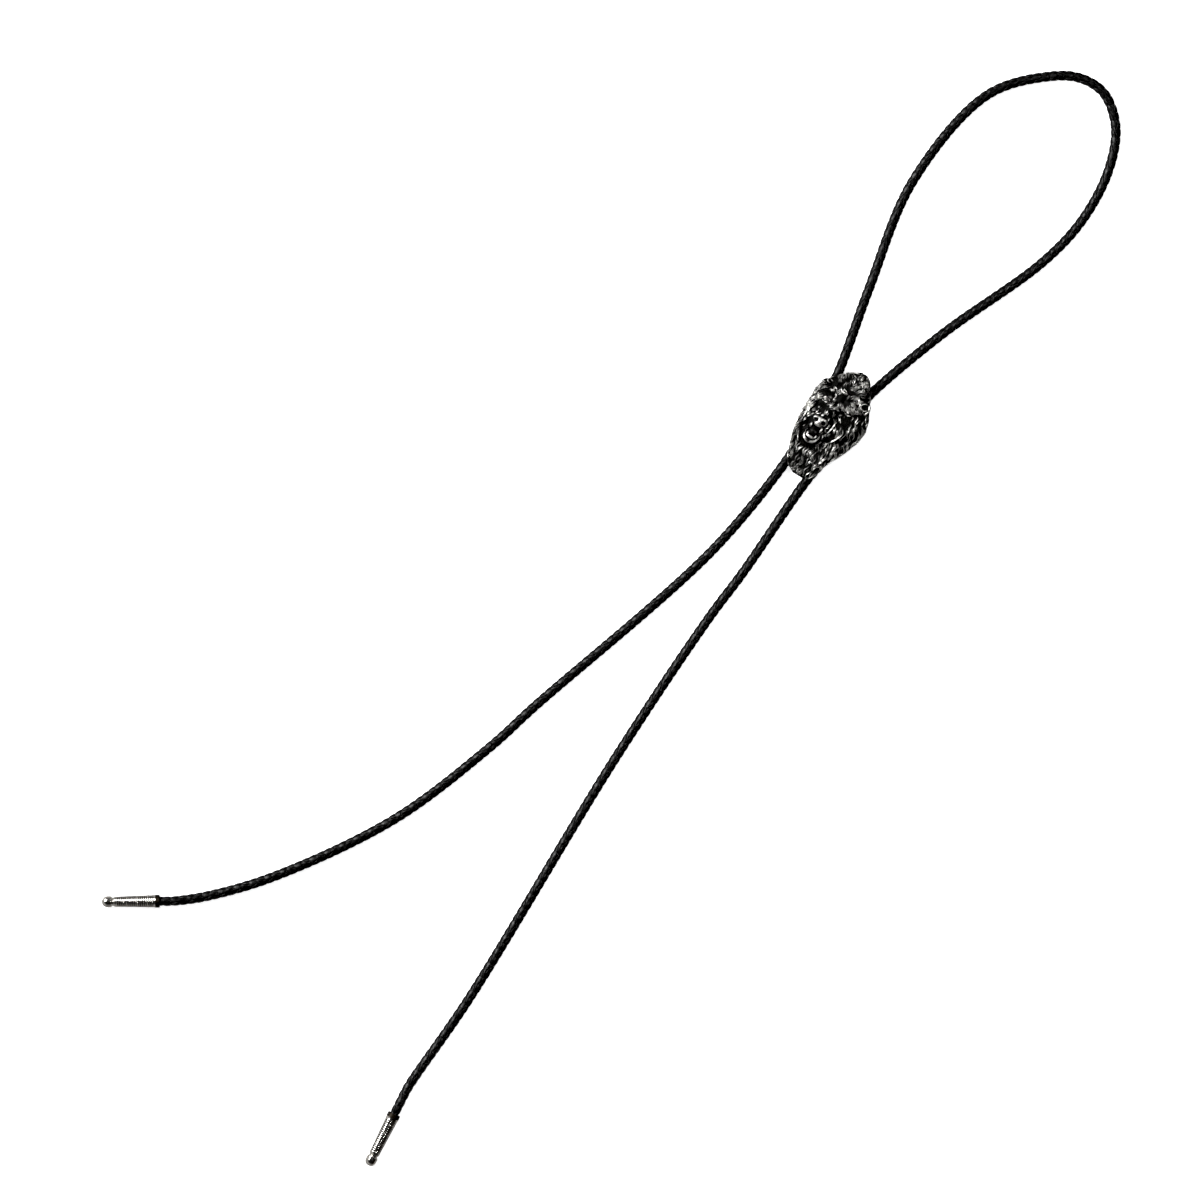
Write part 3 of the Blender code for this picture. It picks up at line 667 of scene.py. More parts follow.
def drilled(mesh, radius, depth):
    """The mesh with a round bore from its mouth."""
    drill = bmesh.new()
    bmesh.ops.create_cone(drill, segments=BORE_SIDES, radius1=radius, radius2=radius, depth=2 * depth,
                          cap_ends=True)
    return cut_out(mesh, plain_mesh("drill", drill))


def coat_with(obj, material):
    """Makes a material the only one of a piece."""
    obj.data.materials.clear()
    obj.data.materials.append(material)


def make_tip(name):
    """One ringed tip, laid on the end of the cord."""
    seed = linked_object("seed", bpy.data.meshes.new("seed"))
    bar = run_tree(seed, ferrule, {"Sides": TIP_SIDES, "Steps": TIP_STEPS, "Ring Pitch": RING_PITCH,
                                   "Ring Height": RING_HEIGHT, "Material": nickel})
    mouth, way = tip_axis(name)
    shape = bmesh.new()
    shape.from_mesh(drilled(bar, CORD_END_DIAMETER / 2 + CLEARANCE, TIP_SEAT_DEPTH + CLEARANCE))
    bmesh.ops.remove_doubles(shape, verts=shape.verts, dist=WELD)
    turn = way.to_track_quat("Z", "Y").to_matrix().to_4x4()
    bmesh.ops.transform(shape, verts=shape.verts, matrix=Matrix.Translation(mouth) @ turn)
    tip = finished_object("ringed_" + name, shape, 50)
    coat_with(tip, nickel)
    offsets = np.array([vertex.co for vertex in tip.data.vertices]) - np.array(mouth)
    reach = offsets @ np.array(way)
    spread = np.linalg.norm(offsets - np.outer(reach, way), axis=1)
    relief = (spread - np.interp(reach, *np.array(outline).T)) / RING_HEIGHT
    # The collar is painted dark: painted shade.
    relief -= np.where(reach < TIP_COLLAR_LENGTH, COLLAR_PAINTED_SHADE, 0.0)
    store_relief(tip, relief)
    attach(tip, "root")
    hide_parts(name)
    print(tip.name, "relief", [round(float(value), 2) for value in np.percentile(relief, (5, 50, 95))])
    return tip


tips = [make_tip(name) for name in TIPS]
print("triangles in a tip:", triangles(tips[0].data))

# %% [markdown]
# The cord leaves the left tip's mouth and ends in the right tip, and both tips lie on it. The braid
# stands for the plain tube of the CAD model.

# %% [markdown]
# ## The bear's head
#
# The slide is a small pewter casting, flat behind and deeply carved in front: a growling bear turned
# to the left, with its mouth open and shaggy fur all round. A sculptor would build it up in clay from
# rounded masses, cut the hollows and lay the fur on last. The script does the same. The masses come
# from short tables, a voxel remesh fuses them into one skin, and the fur is laid on that skin.

# %% The head's outline and masses
CASTING_LENGTH = 43.0 * MM
CASTING_WIDTH = 23.8 * MM
CASTING_HEIGHT = 10.5 * MM
CASTING_EDGE = 1.6 * MM
CASTING_BACK = 2 * CLIP_WALL + CLIP_BORE + CLEARANCE
HALF_LENGTH = CASTING_LENGTH / 2
HALF_WIDTH = CASTING_WIDTH / 2

# Columns: place along the half length, left and right edge as shares of the half width, and the
# dome's height there as a share of the casting's height.
OUTLINE = [
    (1.00, 0.05, 0.16, 0.20), (0.935, -0.21, 0.26, 0.32), (0.866, -0.41, 0.37, 0.42),
    (0.75, -0.60, 0.51, 0.50), (0.634, -0.79, 0.66, 0.55), (0.52, -0.93, 0.77, 0.57),
    (0.38, -0.98, 0.90, 0.57), (0.17, -0.99, 1.00, 0.56), (-0.04, -0.99, 0.96, 0.52),
    (-0.27, -0.94, 0.81, 0.48), (-0.454, -0.86, 0.65, 0.46), (-0.64, -0.74, 0.51, 0.43),
    (-0.824, -0.60, 0.42, 0.36), (-0.94, -0.38, 0.32, 0.27), (-1.00, -0.22, 0.18, 0.20),
]

# Columns: place across and along as shares of the half width and half length, height of the middle,
# then the radii across, along and up, all as shares of the casting's height, a turn in degrees about
# +Z, and roundness: 1 is a ball and less is nearer to a box.
FACE_FORMS = [
    ("muzzle", -0.32, 0.02, 0.46, 0.44, 0.56, 0.40, 4, 0.9),
    ("forehead", -0.05, 0.40, 0.42, 0.60, 0.48, 0.24, 0, 1.0),
    ("bridge_top", -0.17, 0.38, 0.56, 0.16, 0.36, 0.17, -6, 1.0),
    ("bridge_low", -0.25, 0.19, 0.71, 0.19, 0.36, 0.17, -8, 1.0),
    ("brow_right", 0.24, 0.42, 0.55, 0.40, 0.15, 0.17, -10, 1.0),
    ("brow_left", -0.55, 0.39, 0.50, 0.26, 0.14, 0.16, 26, 1.0),
    ("cheek_right", 0.26, 0.02, 0.42, 0.40, 0.64, 0.24, -14, 1.0),
    ("cheek_left", -0.78, 0.02, 0.34, 0.18, 0.60, 0.24, 6, 1.0),
    ("jaw", -0.33, -0.36, 0.44, 0.34, 0.27, 0.26, 4, 0.9),
    ("beard", -0.26, -0.56, 0.36, 0.34, 0.52, 0.20, 6, 1.0),
    ("ear_right", 0.575, 0.51, 0.44, 0.23, 0.23, 0.22, 0, 1.0),
    ("ear_left", -0.78, 0.53, 0.30, 0.17, 0.19, 0.28, 0, 1.0),
    ("crest", 0.10, 0.70, 0.36, 0.42, 0.60, 0.20, 0, 1.0),
]
HOLLOWS = [
    ("mouth", -0.335, -0.245, 0.76, 0.275, 0.21, 0.42, 4, 0.7),
    ("ear_cup", 0.585, 0.525, 0.66, 0.13, 0.11, 0.20, 25, 1.0),
    ("socket_right", 0.26, 0.305, 0.60, 0.20, 0.11, 0.12, -8, 1.0),
    ("socket_left", -0.53, 0.305, 0.55, 0.15, 0.10, 0.12, 12, 1.0),
]
INNER_FORMS = [
    ("nose_top", -0.345, -0.036, 0.83, 0.27, 0.11, 0.13, 4, 0.75),
    ("nose_low", -0.345, -0.090, 0.80, 0.15, 0.14, 0.13, 4, 0.80),
    ("nose_ridge", -0.345, -0.062, 0.91, 0.05, 0.15, 0.06, 4, 0.8),
    ("tongue", -0.335, -0.265, 0.40, 0.14, 0.22, 0.09, 4, 1.0),
    ("fang_left", -0.515, -0.175, 0.70, 0.04, 0.10, 0.10, 8, 1.0),
    ("fang_right", -0.165, -0.175, 0.70, 0.04, 0.10, 0.10, -8, 1.0),
    ("tooth_left", -0.47, -0.315, 0.66, 0.04, 0.07, 0.14, 0, 1.0),
    ("tooth_right", -0.20, -0.315, 0.66, 0.04, 0.07, 0.14, 0, 1.0),
    ("eye_right", 0.26, 0.305, 0.53, 0.10, 0.08, 0.09, -8, 1.0),
    ("eye_left", -0.53, 0.305, 0.48, 0.09, 0.075, 0.09, 12, 1.0),
]
NOSTRILS = [
    ("nostril_left", -0.487, -0.074, 0.95, 0.11, 0.085, 0.16, 34, 1.0),
    ("nostril_right", -0.203, -0.070, 0.95, 0.11, 0.085, 0.16, -34, 1.0),
    ("philtrum", -0.345, -0.125, 0.97, 0.022, 0.08, 0.10, 4, 1.0),
]
print("masses of the head:", len(FACE_FORMS) + len(INNER_FORMS), "hollows:", len(HOLLOWS) + len(NOSTRILS))

# %% [markdown]
# The tables are the CAD model's own, so the head keeps its place and size. What the solid can't
# afford is the fineness: it has a few thousand faces, and here the skin is remeshed with voxels a
# fifth of a millimetre wide.


# %% Helpers that build and fuse masses
SKIN_VOXEL = 0.19 * MM


def add_form(bm, across, along, height, radii, turn, roundness):
    """One rounded mass: a ball, squared off if it is not round, stretched and turned about +Z."""
    made = bmesh.ops.create_uvsphere(bm, u_segments=40, v_segments=24, radius=1.0)["verts"]
    for vert in made:
        vert.co = Vector([math.copysign(abs(c) ** roundness, c) for c in vert.co])
    place = Matrix.Translation((across * HALF_WIDTH, along * HALF_LENGTH, height * CASTING_HEIGHT))
    stretch = Matrix.Diagonal((*(r * CASTING_HEIGHT for r in radii), 1.0))
    bmesh.ops.transform(bm, verts=made, matrix=place @ Matrix.Rotation(math.radians(turn), 4, "Z") @ stretch)


def add_forms(bm, table):
    """Every mass of a table."""
    for _, across, along, height, wide, long, deep, turn, roundness in table:
        add_form(bm, across, along, height, (wide, long, deep), turn, roundness)


def fused(shells):
    """One closed skin round every shell of the mesh under construction."""
    obj = linked_object("shells", plain_mesh("shells", shells))
    remesh = obj.modifiers.new("fuse", "REMESH")
    remesh.mode = "VOXEL"
    remesh.voxel_size = SKIN_VOXEL
    return baked_mesh(obj)


def carved(mesh, table):
    """The mesh with the masses of a table cut out of it."""
    shells = bmesh.new()
    add_forms(shells, table)
    return cut_out(mesh, fused(shells))


print("voxels of", round(SKIN_VOXEL / MM, 2), "mm")

# %% [markdown]
# Under the masses lies a plain dome that follows the slide's outline. It is a closed loft: a row of
# points across the head at each of many stations from crown to beard, and a flat underside.


# %% The dome and the bare head
DOME_SQUARENESS = 2.6


def outline_at(along):
    """Left edge, right edge and dome height at a share of the half length, in metres."""
    table = np.array(OUTLINE)[::-1]
    left, right, rise = (np.interp(along, table[:, 0], table[:, column]) for column in (1, 2, 3))
    return left * HALF_WIDTH, right * HALF_WIDTH, rise * CASTING_HEIGHT


def add_dome(bm, columns=40, sections=110):
    """The plain dome, its foot below the back so that the back can be cut flat."""
    rows = []
    for along in np.linspace(1.0, -1.0, sections):
        left, right, rise = outline_at(along)
        shares = [-math.cos(math.pi * column / columns) for column in range(columns + 1)]
        top, base = [], []
        for share in shares:
            x, y = left + (right - left) * (1 + share) / 2, along * HALF_LENGTH
            bulge = max(1 - abs(share) ** DOME_SQUARENESS, 0.0) ** 0.5
            top.append(bm.verts.new((x, y, CASTING_EDGE + (rise - CASTING_EDGE) * bulge)))
            base.insert(0, bm.verts.new((x, y, -CASTING_EDGE)))
        rows.append(top + base)
    for upper, lower in zip(rows, rows[1:]):
        for i in range(len(upper)):
            j = (i + 1) % len(upper)
            bm.faces.new((upper[i], lower[i], lower[j], upper[j]))
    bm.faces.new(rows[0])
    bm.faces.new(reversed(rows[-1]))


shells = bmesh.new()
add_dome(shells)
bmesh.ops.recalc_face_normals(shells, faces=shells.faces)
add_forms(shells, FACE_FORMS)
bare_head = fused(shells)
print("bare head faces:", len(bare_head.polygons))

# %% [markdown]
# ## The fur
#
# Cast fur is a picture of fur: locks of a few thick wavy hairs that start side by side, lean together
# and meet in a point on the next lock. They lie like tiles, away from the brow, down the cheeks and
# in towards the beard, and round the rim they turn along it. Each hair is a line that the script
# walks over the head, and a tree of Geometry Nodes turns all the lines into tapered hairs at once.


# %% Where the fur grows and which way it lies
FUR_MIDDLE = (-0.20, 0.36)
FUR_DROOP = 1.7
FUR_GATHER = 0.9
LOCK_LENGTH = 6.0 * MM
LOCK_WIDTH = 1.9 * MM
LOCK_ROW_SPACING = 2.15 * MM
LOCK_SPACING = 1.6 * MM
LOCK_SHIFT = 0.35
LOCK_VEER = 0.28
WHORL_VEER = 4
RIM_MARGIN = 0.45 * MM
HAIRS_IN_LOCK = 4
HAIR_STEPS = 12
HAIR_SIDES = 6
HAIR_RADIUS = 0.24 * MM
HAIR_WAVE = 0.24 * MM
HAIR_WAVE_LENGTH = 3.0 * MM
HAIR_LIFT = 0.30 * MM
HAIR_UNEVEN = (-0.24 * MM, 0.20 * MM)
SHORT_FUR = 0.45

# Bare places. Columns: place across and along, then the radii, as shares of the half width.
BARE_PLACES = [
    ("nose", -0.345, -0.062, 0.26, 0.16), ("mouth", -0.335, -0.235, 0.28, 0.25),
    ("eye_right", 0.26, 0.300, 0.13, 0.07), ("eye_left", -0.53, 0.300, 0.11, 0.07),
    ("chin", -0.33, -0.385, 0.20, 0.055), ("ear_right", 0.585, 0.525, 0.13, 0.11),
]

# Places with short hair, in the same columns
SHORT_PLACES = [("muzzle", -0.33, -0.02, 0.50, 0.50), ("eyes", -0.13, 0.28, 0.66, 0.20)]

# Whorls, where the hair turns every way and stands in short tufts, in the same columns
WHORLS = [
    ("brow", -0.14, 0.40, 0.40, 0.26), ("crown", 0.10, 0.74, 0.30, 0.24),
    ("ear_root", 0.36, 0.50, 0.30, 0.22),
]
WHORL_TUFTS = 18


def inside(places, x, y):
    """Whether a point lies in one of a table's ellipses."""
    for _, across, along, wide, long in places:
        u = (x - across * HALF_WIDTH) / (wide * HALF_WIDTH)
        v = (y - along * HALF_LENGTH) / (long * HALF_WIDTH)
        if u * u + v * v < 1:
            return True
    return False


def fur_heading(x, y):
    """Which way the fur lies: away from the brow, drooping at the sides and drawn in at the beard."""
    away = Vector((x - FUR_MIDDLE[0] * HALF_WIDTH, y - FUR_MIDDLE[1] * HALF_LENGTH)).normalized()
    droop = FUR_DROOP * (1 - max(away.y, 0.0)) * abs(away.x) ** 0.5
    gather = FUR_GATHER * max(-y / HALF_LENGTH, 0.0) * x / HALF_WIDTH
    return Vector((away.x - gather, away.y - droop)).normalized()


def within_rim(x, y):
    """The nearest place that keeps a margin from the slide's outline."""
    y = min(max(y, -HALF_LENGTH + RIM_MARGIN), HALF_LENGTH - RIM_MARGIN)
    left, right, _ = outline_at(y / HALF_LENGTH)
    return min(max(x, left + RIM_MARGIN), right - RIM_MARGIN), y


def lock_roots(chance):
    """Staggered rows of lock roots over the whole head, each shifted a little."""
    rows = int(CASTING_LENGTH / LOCK_ROW_SPACING)
    for row in range(rows + 1):
        y = (row / rows - 0.5) * (CASTING_LENGTH - 2 * RIM_MARGIN)
        left, right, _ = outline_at(y / HALF_LENGTH)
        count = max(int((right - left) / LOCK_SPACING), 1)
        for number in range(count):
            x = left + (number + 0.25 + 0.5 * (row % 2)) * (right - left) / count
            shift = chance.uniform(-LOCK_SHIFT, LOCK_SHIFT, 2) * LOCK_SPACING
            yield within_rim(x + shift[0], y + shift[1])
    for _, across, along, wide, long in WHORLS:
        for turn in range(WHORL_TUFTS):
            angle, reach = chance.uniform(0, 2 * math.pi), chance.uniform(0, 1) ** 0.5
            yield ((across + wide * reach * math.cos(angle)) * HALF_WIDTH,
                   along * HALF_LENGTH + long * reach * math.sin(angle) * HALF_WIDTH)


# %% [markdown]
# A hair follows the lie of the fur step by step. At each step the script drops a plumb line on the
# bare head to find the skin, so the hair hugs every brow and cheek. It rises from its root, stands
# highest past its middle and comes down again on the root of the next lock.


# %% Walk the hairs over the head
def skin_finder(mesh):
    """A tree for plumb lines on a mesh."""
    bm = bmesh.new()
    bm.from_mesh(mesh)
    tree = BVHTree.FromBMesh(bm)
    bm.free()
    return tree


def skin_point(tree, x, y):
    """The point of the skin under a place, and the way it faces."""
    point, normal, _, _ = tree.ray_cast(Vector((x, y, 2 * CASTING_HEIGHT)), Vector((0, 0, -1)))
    return (point, normal) if point else (Vector((x, y, 0.0)), Vector((0, 0, 1)))


def lock_hairs(tree, x, y, chance):
    """The hairs of one lock, as lists of points with a thickness for each."""
    scale = SHORT_FUR if inside(SHORT_PLACES + WHORLS, x, y) else chance.uniform(0.7, 1.15)
    thick = scale ** 0.5
    veer = chance.uniform(-LOCK_VEER, LOCK_VEER) * (WHORL_VEER if inside(WHORLS, x, y) else 1)
    veer = Matrix.Rotation(veer, 2)
    phase = chance.uniform(0, 2 * math.pi)
    middle, ways = [Vector((x, y))], []
    for _ in range(HAIR_STEPS):
        way = veer @ fur_heading(*middle[-1])
        ways.append(way)
        following = middle[-1] + way * LOCK_LENGTH * scale / HAIR_STEPS
        middle.append(Vector(within_rim(*following)))
    ways.append(ways[-1])
    for number in range(HAIRS_IN_LOCK):
        lane = 2 * number / (HAIRS_IN_LOCK - 1) - 1
        proud = chance.uniform(*HAIR_UNEVEN)
        hair = []
        for step, (place, way) in enumerate(zip(middle, ways)):
            share = step / HAIR_STEPS
            # The hairs draw together towards the lock's point, and their common wave grows from the root.
            wave = HAIR_WAVE * math.sin(phase + 2 * math.pi * share * LOCK_LENGTH * scale / HAIR_WAVE_LENGTH)
            spread = lane * LOCK_WIDTH / 2 * thick * (1 - share ** 1.7) + wave * min(3 * share, 1.0) * thick
            spot = within_rim(place.x - way.y * spread, place.y + way.x * spread)
            if inside(BARE_PLACES, *spot) or abs(place.y) > HALF_LENGTH - 1.5 * RIM_MARGIN:
                break
            ground, facing = skin_point(tree, *spot)
            # A hair swells from its root, is thickest before its middle and ends in a fine tip.
            lift = (HAIR_LIFT * math.sin(math.pi * share ** 1.2) + proud * min(4 * share, 1.0)) * thick
            size = HAIR_RADIUS * thick * (0.45 + 0.55 * math.sin(math.pi * min(share * 1.3, 1.0) ** 0.8))
            size *= min(1.0, 0.25 + 3.2 * (1 - share))
            hair.append((ground + facing * lift, size))
        if len(hair) > 3:
            yield hair


chance = np.random.default_rng(7)
skin = skin_finder(bare_head)
hairs = [hair for x, y in lock_roots(chance) for hair in lock_hairs(skin, x, y, chance)]
print("hairs:", len(hairs))

# %% [markdown]
# **A tree of Geometry Nodes for the hairs.** The lines go in as bare edges, each point with its own
# thickness. The tree makes them curves, sweeps a small circle along each, scaled by that thickness,
# and closes the ends. The number of sides and a factor for all thicknesses are named inputs, so the
# whole coat can be made finer or heavier in one place.

# %% The hair tree
hair_tree, start, end = geometry_tree("cast_hairs", [
    ("Sides", "NodeSocketInt"), ("Thickness", "NodeSocketFloat"), ("Material", "NodeSocketMaterial")])
curves = node(hair_tree, "GeometryNodeMeshToCurve", {"Mesh": start.outputs["Geometry"]})
size = node(hair_tree, "GeometryNodeInputNamedAttribute", {"Name": "thickness"})
scaled = maths(hair_tree, "MULTIPLY", size.outputs["Attribute"], start.outputs["Thickness"])
end_with_sweep(hair_tree, start, end, curves.outputs["Curve"], scaled)
print(hair_tree.name, "has", len(hair_tree.nodes), "nodes")


# %% Turn the lines into hairs
def mesh_of_lines(lines):
    """An object of bare edges, one chain for each list of points, with their thickness stored."""
    places, edges, sizes = [], [], []
    for chain in lines:
        edges += [(len(places) + i, len(places) + i + 1) for i in range(len(chain) - 1)]
        places += [point for point, _ in chain]
        sizes += [size for _, size in chain]
    mesh = bpy.data.meshes.new("lines")
    mesh.from_pydata(places, edges, [])
    mesh.attributes.new("thickness", "FLOAT", "POINT").data.foreach_set("value", sizes)
    return linked_object("lines", mesh)


pewter, pewter_tree, pewter_shader = new_material("blackened_pewter")
sweep = {"Sides": HAIR_SIDES, "Thickness": 1.0, "Material": pewter}
coat_mesh = run_tree(mesh_of_lines(hairs), hair_tree, sweep)
print("coat triangles:", triangles(coat_mesh))

# %% [markdown]
# ## The folds of the face
#
# Lips, creases and the rim of the ear are long raised folds. They are lines too, so the same tree
# sweeps them: a few given points, a smooth curve through them, thick in the middle and thin at both
# ends.

# %% Lips, creases and rims
# Points across and along as shares, then the fold's lowest height and its thickness as shares of the
# casting's height.
FOLDS = [
    ("lower_lip", [(-0.55, -0.33), (-0.51, -0.40), (-0.34, -0.44), (-0.16, -0.39), (-0.10, -0.28)],
     0.68, 0.058),
    ("lip_bar", [(-0.50, -0.352), (-0.34, -0.36), (-0.21, -0.352)], 0.72, 0.06),
    ("lip_corner", [(-0.07, -0.13), (0.02, -0.20), (0.03, -0.30), (-0.07, -0.43)], 0.56, 0.05),
    ("lip_line", [(0.09, 0.07), (0.08, -0.05), (0.05, -0.14), (-0.01, -0.24)], 0.56, 0.035),
    ("cheek_line", [(0.45, -0.04), (0.40, -0.13), (0.32, -0.21), (0.14, -0.355)], 0.56, 0.035),
    ("left_line", [(-0.84, -0.02), (-0.82, -0.20), (-0.72, -0.38), (-0.60, -0.52)], 0.40, 0.05),
    ("ear_rim", [(0.66, 0.60), (0.74, 0.51), (0.68, 0.42), (0.50, 0.385), (0.36, 0.39)], 0.52, 0.05),
    ("lower_rim", [(-0.70, -0.70), (-0.58, -0.82), (-0.40, -0.93), (-0.20, -0.96)], 0.24, 0.06),
    ("lid_right", [(0.12, 0.295), (0.20, 0.332), (0.30, 0.334), (0.39, 0.300)], 0.50, 0.035),
    ("bag_right", [(0.13, 0.283), (0.22, 0.262), (0.31, 0.265), (0.38, 0.288)], 0.50, 0.03),
    ("lid_left", [(-0.67, 0.285), (-0.58, 0.330), (-0.49, 0.334), (-0.40, 0.308)], 0.44, 0.035),
    ("bag_left", [(-0.65, 0.275), (-0.57, 0.260), (-0.49, 0.264), (-0.42, 0.286)], 0.44, 0.03),
]
FOLD_RISE = 0.42 * LOCK_WIDTH
FOLD_STEP = 0.3 * MM
FOLD_SIDES = 10


def fold_line(points, height, thickness):
    """A fold's points on the head, with a thickness for each."""
    flat = [Vector((u * HALF_WIDTH, v * HALF_LENGTH, 0.0)) for u, v in points]
    places, marks = smooth_line(flat, FOLD_STEP)
    fold = []
    for place, mark in zip(places, marks):
        middle = math.sin(math.pi * mark / marks[-1])
        ground, _ = skin_point(skin, place[0], place[1])
        level = max(height * CASTING_HEIGHT, ground.z + FOLD_RISE)
        size = thickness * CASTING_HEIGHT * (0.45 + 0.45 * middle)
        fold.append((Vector((place[0], place[1], level)), size))
    return fold


folds = [fold_line(points, height, thickness) for _, points, height, thickness in FOLDS]
creases = run_tree(mesh_of_lines(folds), hair_tree, {**sweep, "Sides": FOLD_SIDES})
print("folds:", len(folds))

# %% [markdown]
# ## One casting
#
# The head is fused in the order of a sculptor: the hollows are cut first, then comes what stands in
# them, the folds and the nose, and the nostrils last. One more remesh cleans the skin, a plane cuts
# the back flat, and the head is set where the CAD has it. The hairs stay tubes sunk half into this
# skin, because a remesh fine enough for them would need a million faces.


# %% Fuse, carve and set in place
def shells_of(*meshes):
    """Several meshes as shells of one mesh under construction."""
    shells = bmesh.new()
    for mesh in meshes:
        shells.from_mesh(mesh)
    return shells


shells = shells_of(carved(bare_head, HOLLOWS), creases)
add_forms(shells, INNER_FORMS)
head = bmesh.new()
head.from_mesh(fused(shells_of(carved(fused(shells), NOSTRILS))))
bmesh.ops.bisect_plane(head, geom=head.verts[:] + head.edges[:] + head.faces[:], dist=0.001 * MM,
                       plane_co=(0, 0, 0), plane_no=(0, 0, 1), clear_inner=True)
bmesh.ops.holes_fill(head, edges=[edge for edge in head.edges if edge.is_boundary])
spots = np.array([vert.co.xy for vert in head.verts], dtype=np.float64)
middle = (spots.min(axis=0) + spots.max(axis=0)) / 2
into_place = Vector((-middle[0], -middle[1], CASTING_BACK))
furry = np.array([not inside(BARE_PLACES, vert.co.x, vert.co.y) for vert in head.verts])
bmesh.ops.translate(head, verts=head.verts, vec=into_place)
casting = finished_object("bear_head_casting", head, 75)
coat_with(casting, pewter)
print("head triangles:", triangles(casting.data))

coat = shells_of(coat_mesh)
heights = []
for vert in coat.verts:
    ground, facing, _, _ = skin.find_nearest(vert.co)
    heights.append((vert.co - ground).dot(facing))
thickness = np.empty(len(coat_mesh.vertices))
coat_mesh.attributes["thickness"].data.foreach_get("value", thickness)
bmesh.ops.translate(coat, verts=coat.verts, vec=into_place)
fur = finished_object("bear_fur_casting", coat, 60)
coat_with(fur, pewter)
print("hairs stand up to", round(max(heights) / MM, 2), "mm over the skin")

# %% [markdown]
# The head's relief is measured on its finished mesh. A copy of its points is smoothed by moving each
# to the middle of its neighbours, again and again. A point that lies outside the smoothed copy stands
# on a ridge. Few rounds find the folds, and many find the brows, the muzzle and the hollows.


# %% Measure the relief of the head
FINE_ROUNDS = 4
FINE_SIZE = 0.035 * MM
BROAD_ROUNDS = 30
BROAD_SIZE = 0.25 * MM


def measured_relief(mesh):
    """Each point's height over its near and wide surroundings, in units of the two sizes."""
    count = len(mesh.vertices)
    places = np.empty(count * 3)
    mesh.vertices.foreach_get("co", places)
    places = places.reshape(-1, 3)
    facing = np.array([vector.vector for vector in mesh.vertex_normals])
    pairs = np.empty(len(mesh.edges) * 2, dtype=int)
    mesh.edges.foreach_get("vertices", pairs)
    pairs = pairs.reshape(-1, 2)
    source, target = np.concatenate([pairs, pairs[:, ::-1]]).T
    degree = np.bincount(target, minlength=count)
    smoothed = places.copy()
    found = []
    for turn in range(1, BROAD_ROUNDS + 1):
        sums = [np.bincount(target, smoothed[source, axis], count) for axis in range(3)]
        smoothed = np.stack(sums, axis=1) / degree[:, None]
        if turn in (FINE_ROUNDS, BROAD_ROUNDS):
            found.append(((places - smoothed) * facing).sum(axis=1))
    return found[0] / FINE_SIZE + found[1] / BROAD_SIZE


head_relief = measured_relief(casting.data)
print("measured relief:", [round(float(value), 2) for value in np.percentile(head_relief, (5, 50, 95))])

# %% [markdown]
# ## Blackened pewter
#
# Such castings are dipped in a solution that turns the whole surface black and are then polished with a
# buff, which takes the black off everything that stands proud and never reaches the bottoms, and that
# is what makes the relief readable. The material is therefore two metals mixed by the rubbed mask. On a
# hair the relief is its height over the skin, measured in its own thickness, and the skin between the
# hairs, the mouth and the sockets stay black. The hairs' relief also carries painted light: a table of
# places paints some hairs brighter, a painted highlight, and some darker, a painted shade, and the
# hairs are painted darker towards the beard, a painted shade too.

# %% The pewter material
SKIN_DARK = 1.5
MOUTH_ROOF = 0.62
MOUTH_DARK = 0.8
THINNEST = 0.12 * MM
HAIR_CREST = 1.45
# Hairs painted darker towards the beard: painted shade.
BEARD_PAINTED_SHADE = 0.7
PEWTER_BLACK = (0.005, 0.005, 0.0045)
PEWTER_BRIGHT = (0.72, 0.71, 0.68)

# Places where the hairs are painted brighter, a painted highlight, and places where they are painted
# darker, a painted shade. Columns: place across and along, the radii as shares of the half width, and
# the relief added in the middle.
PAINTED_LIGHT_PLACES = [
    ("brow_right", 0.38, 0.49, 0.40, 0.26, 0.55), ("bridge", -0.16, 0.32, 0.12, 0.26, 0.6),
    ("crown_tuft", 0.22, 0.90, 0.20, 0.20, 0.2), ("low_right", 0.20, -0.78, 0.22, 0.36, 0.35),
    ("cheek_edge_left", -0.86, 0.05, 0.20, 0.60, 0.75), ("muzzle_side", 0.05, 0.00, 0.20, 0.30, 0.3),
    ("cheek_right", 0.40, -0.02, 0.34, 0.50, -0.3),
]


def painted_light_and_shade(points):
    """The painted highlight and shade that the table adds as relief at an array of points, fading at edges.
    """
    added = np.zeros(len(points))
    for _, across, along, wide, long, amount in PAINTED_LIGHT_PLACES:
        u = (points[:, 0] - across * HALF_WIDTH) / (wide * HALF_WIDTH)
        v = (points[:, 1] - along * HALF_LENGTH) / (long * HALF_WIDTH)
        added += amount * np.clip(1.5 - u ** 2 - v ** 2, 0, 1)
    return added


level = np.array([(vertex.co.z - CASTING_BACK) / CASTING_HEIGHT for vertex in casting.data.vertices])
head_relief -= np.where(furry, SKIN_DARK, 0.0) + np.where(level < MOUTH_ROOF, MOUTH_DARK, 0.0)
store_relief(casting, head_relief)
fur_relief = np.array(heights) / np.maximum(thickness, THINNEST) - HAIR_CREST
places = np.array([vertex.co for vertex in fur.data.vertices])
# Painted highlight and shade from the table, and painted shade that darkens the hairs towards the beard.
fur_relief += painted_light_and_shade(places) - BEARD_PAINTED_SHADE * np.clip(-places[:, 1] / HALF_LENGTH, 0, 0.6)
store_relief(fur, fur_relief)
print("fur relief", [round(float(value), 2) for value in np.percentile(fur_relief, (5, 25, 50, 75, 95))])

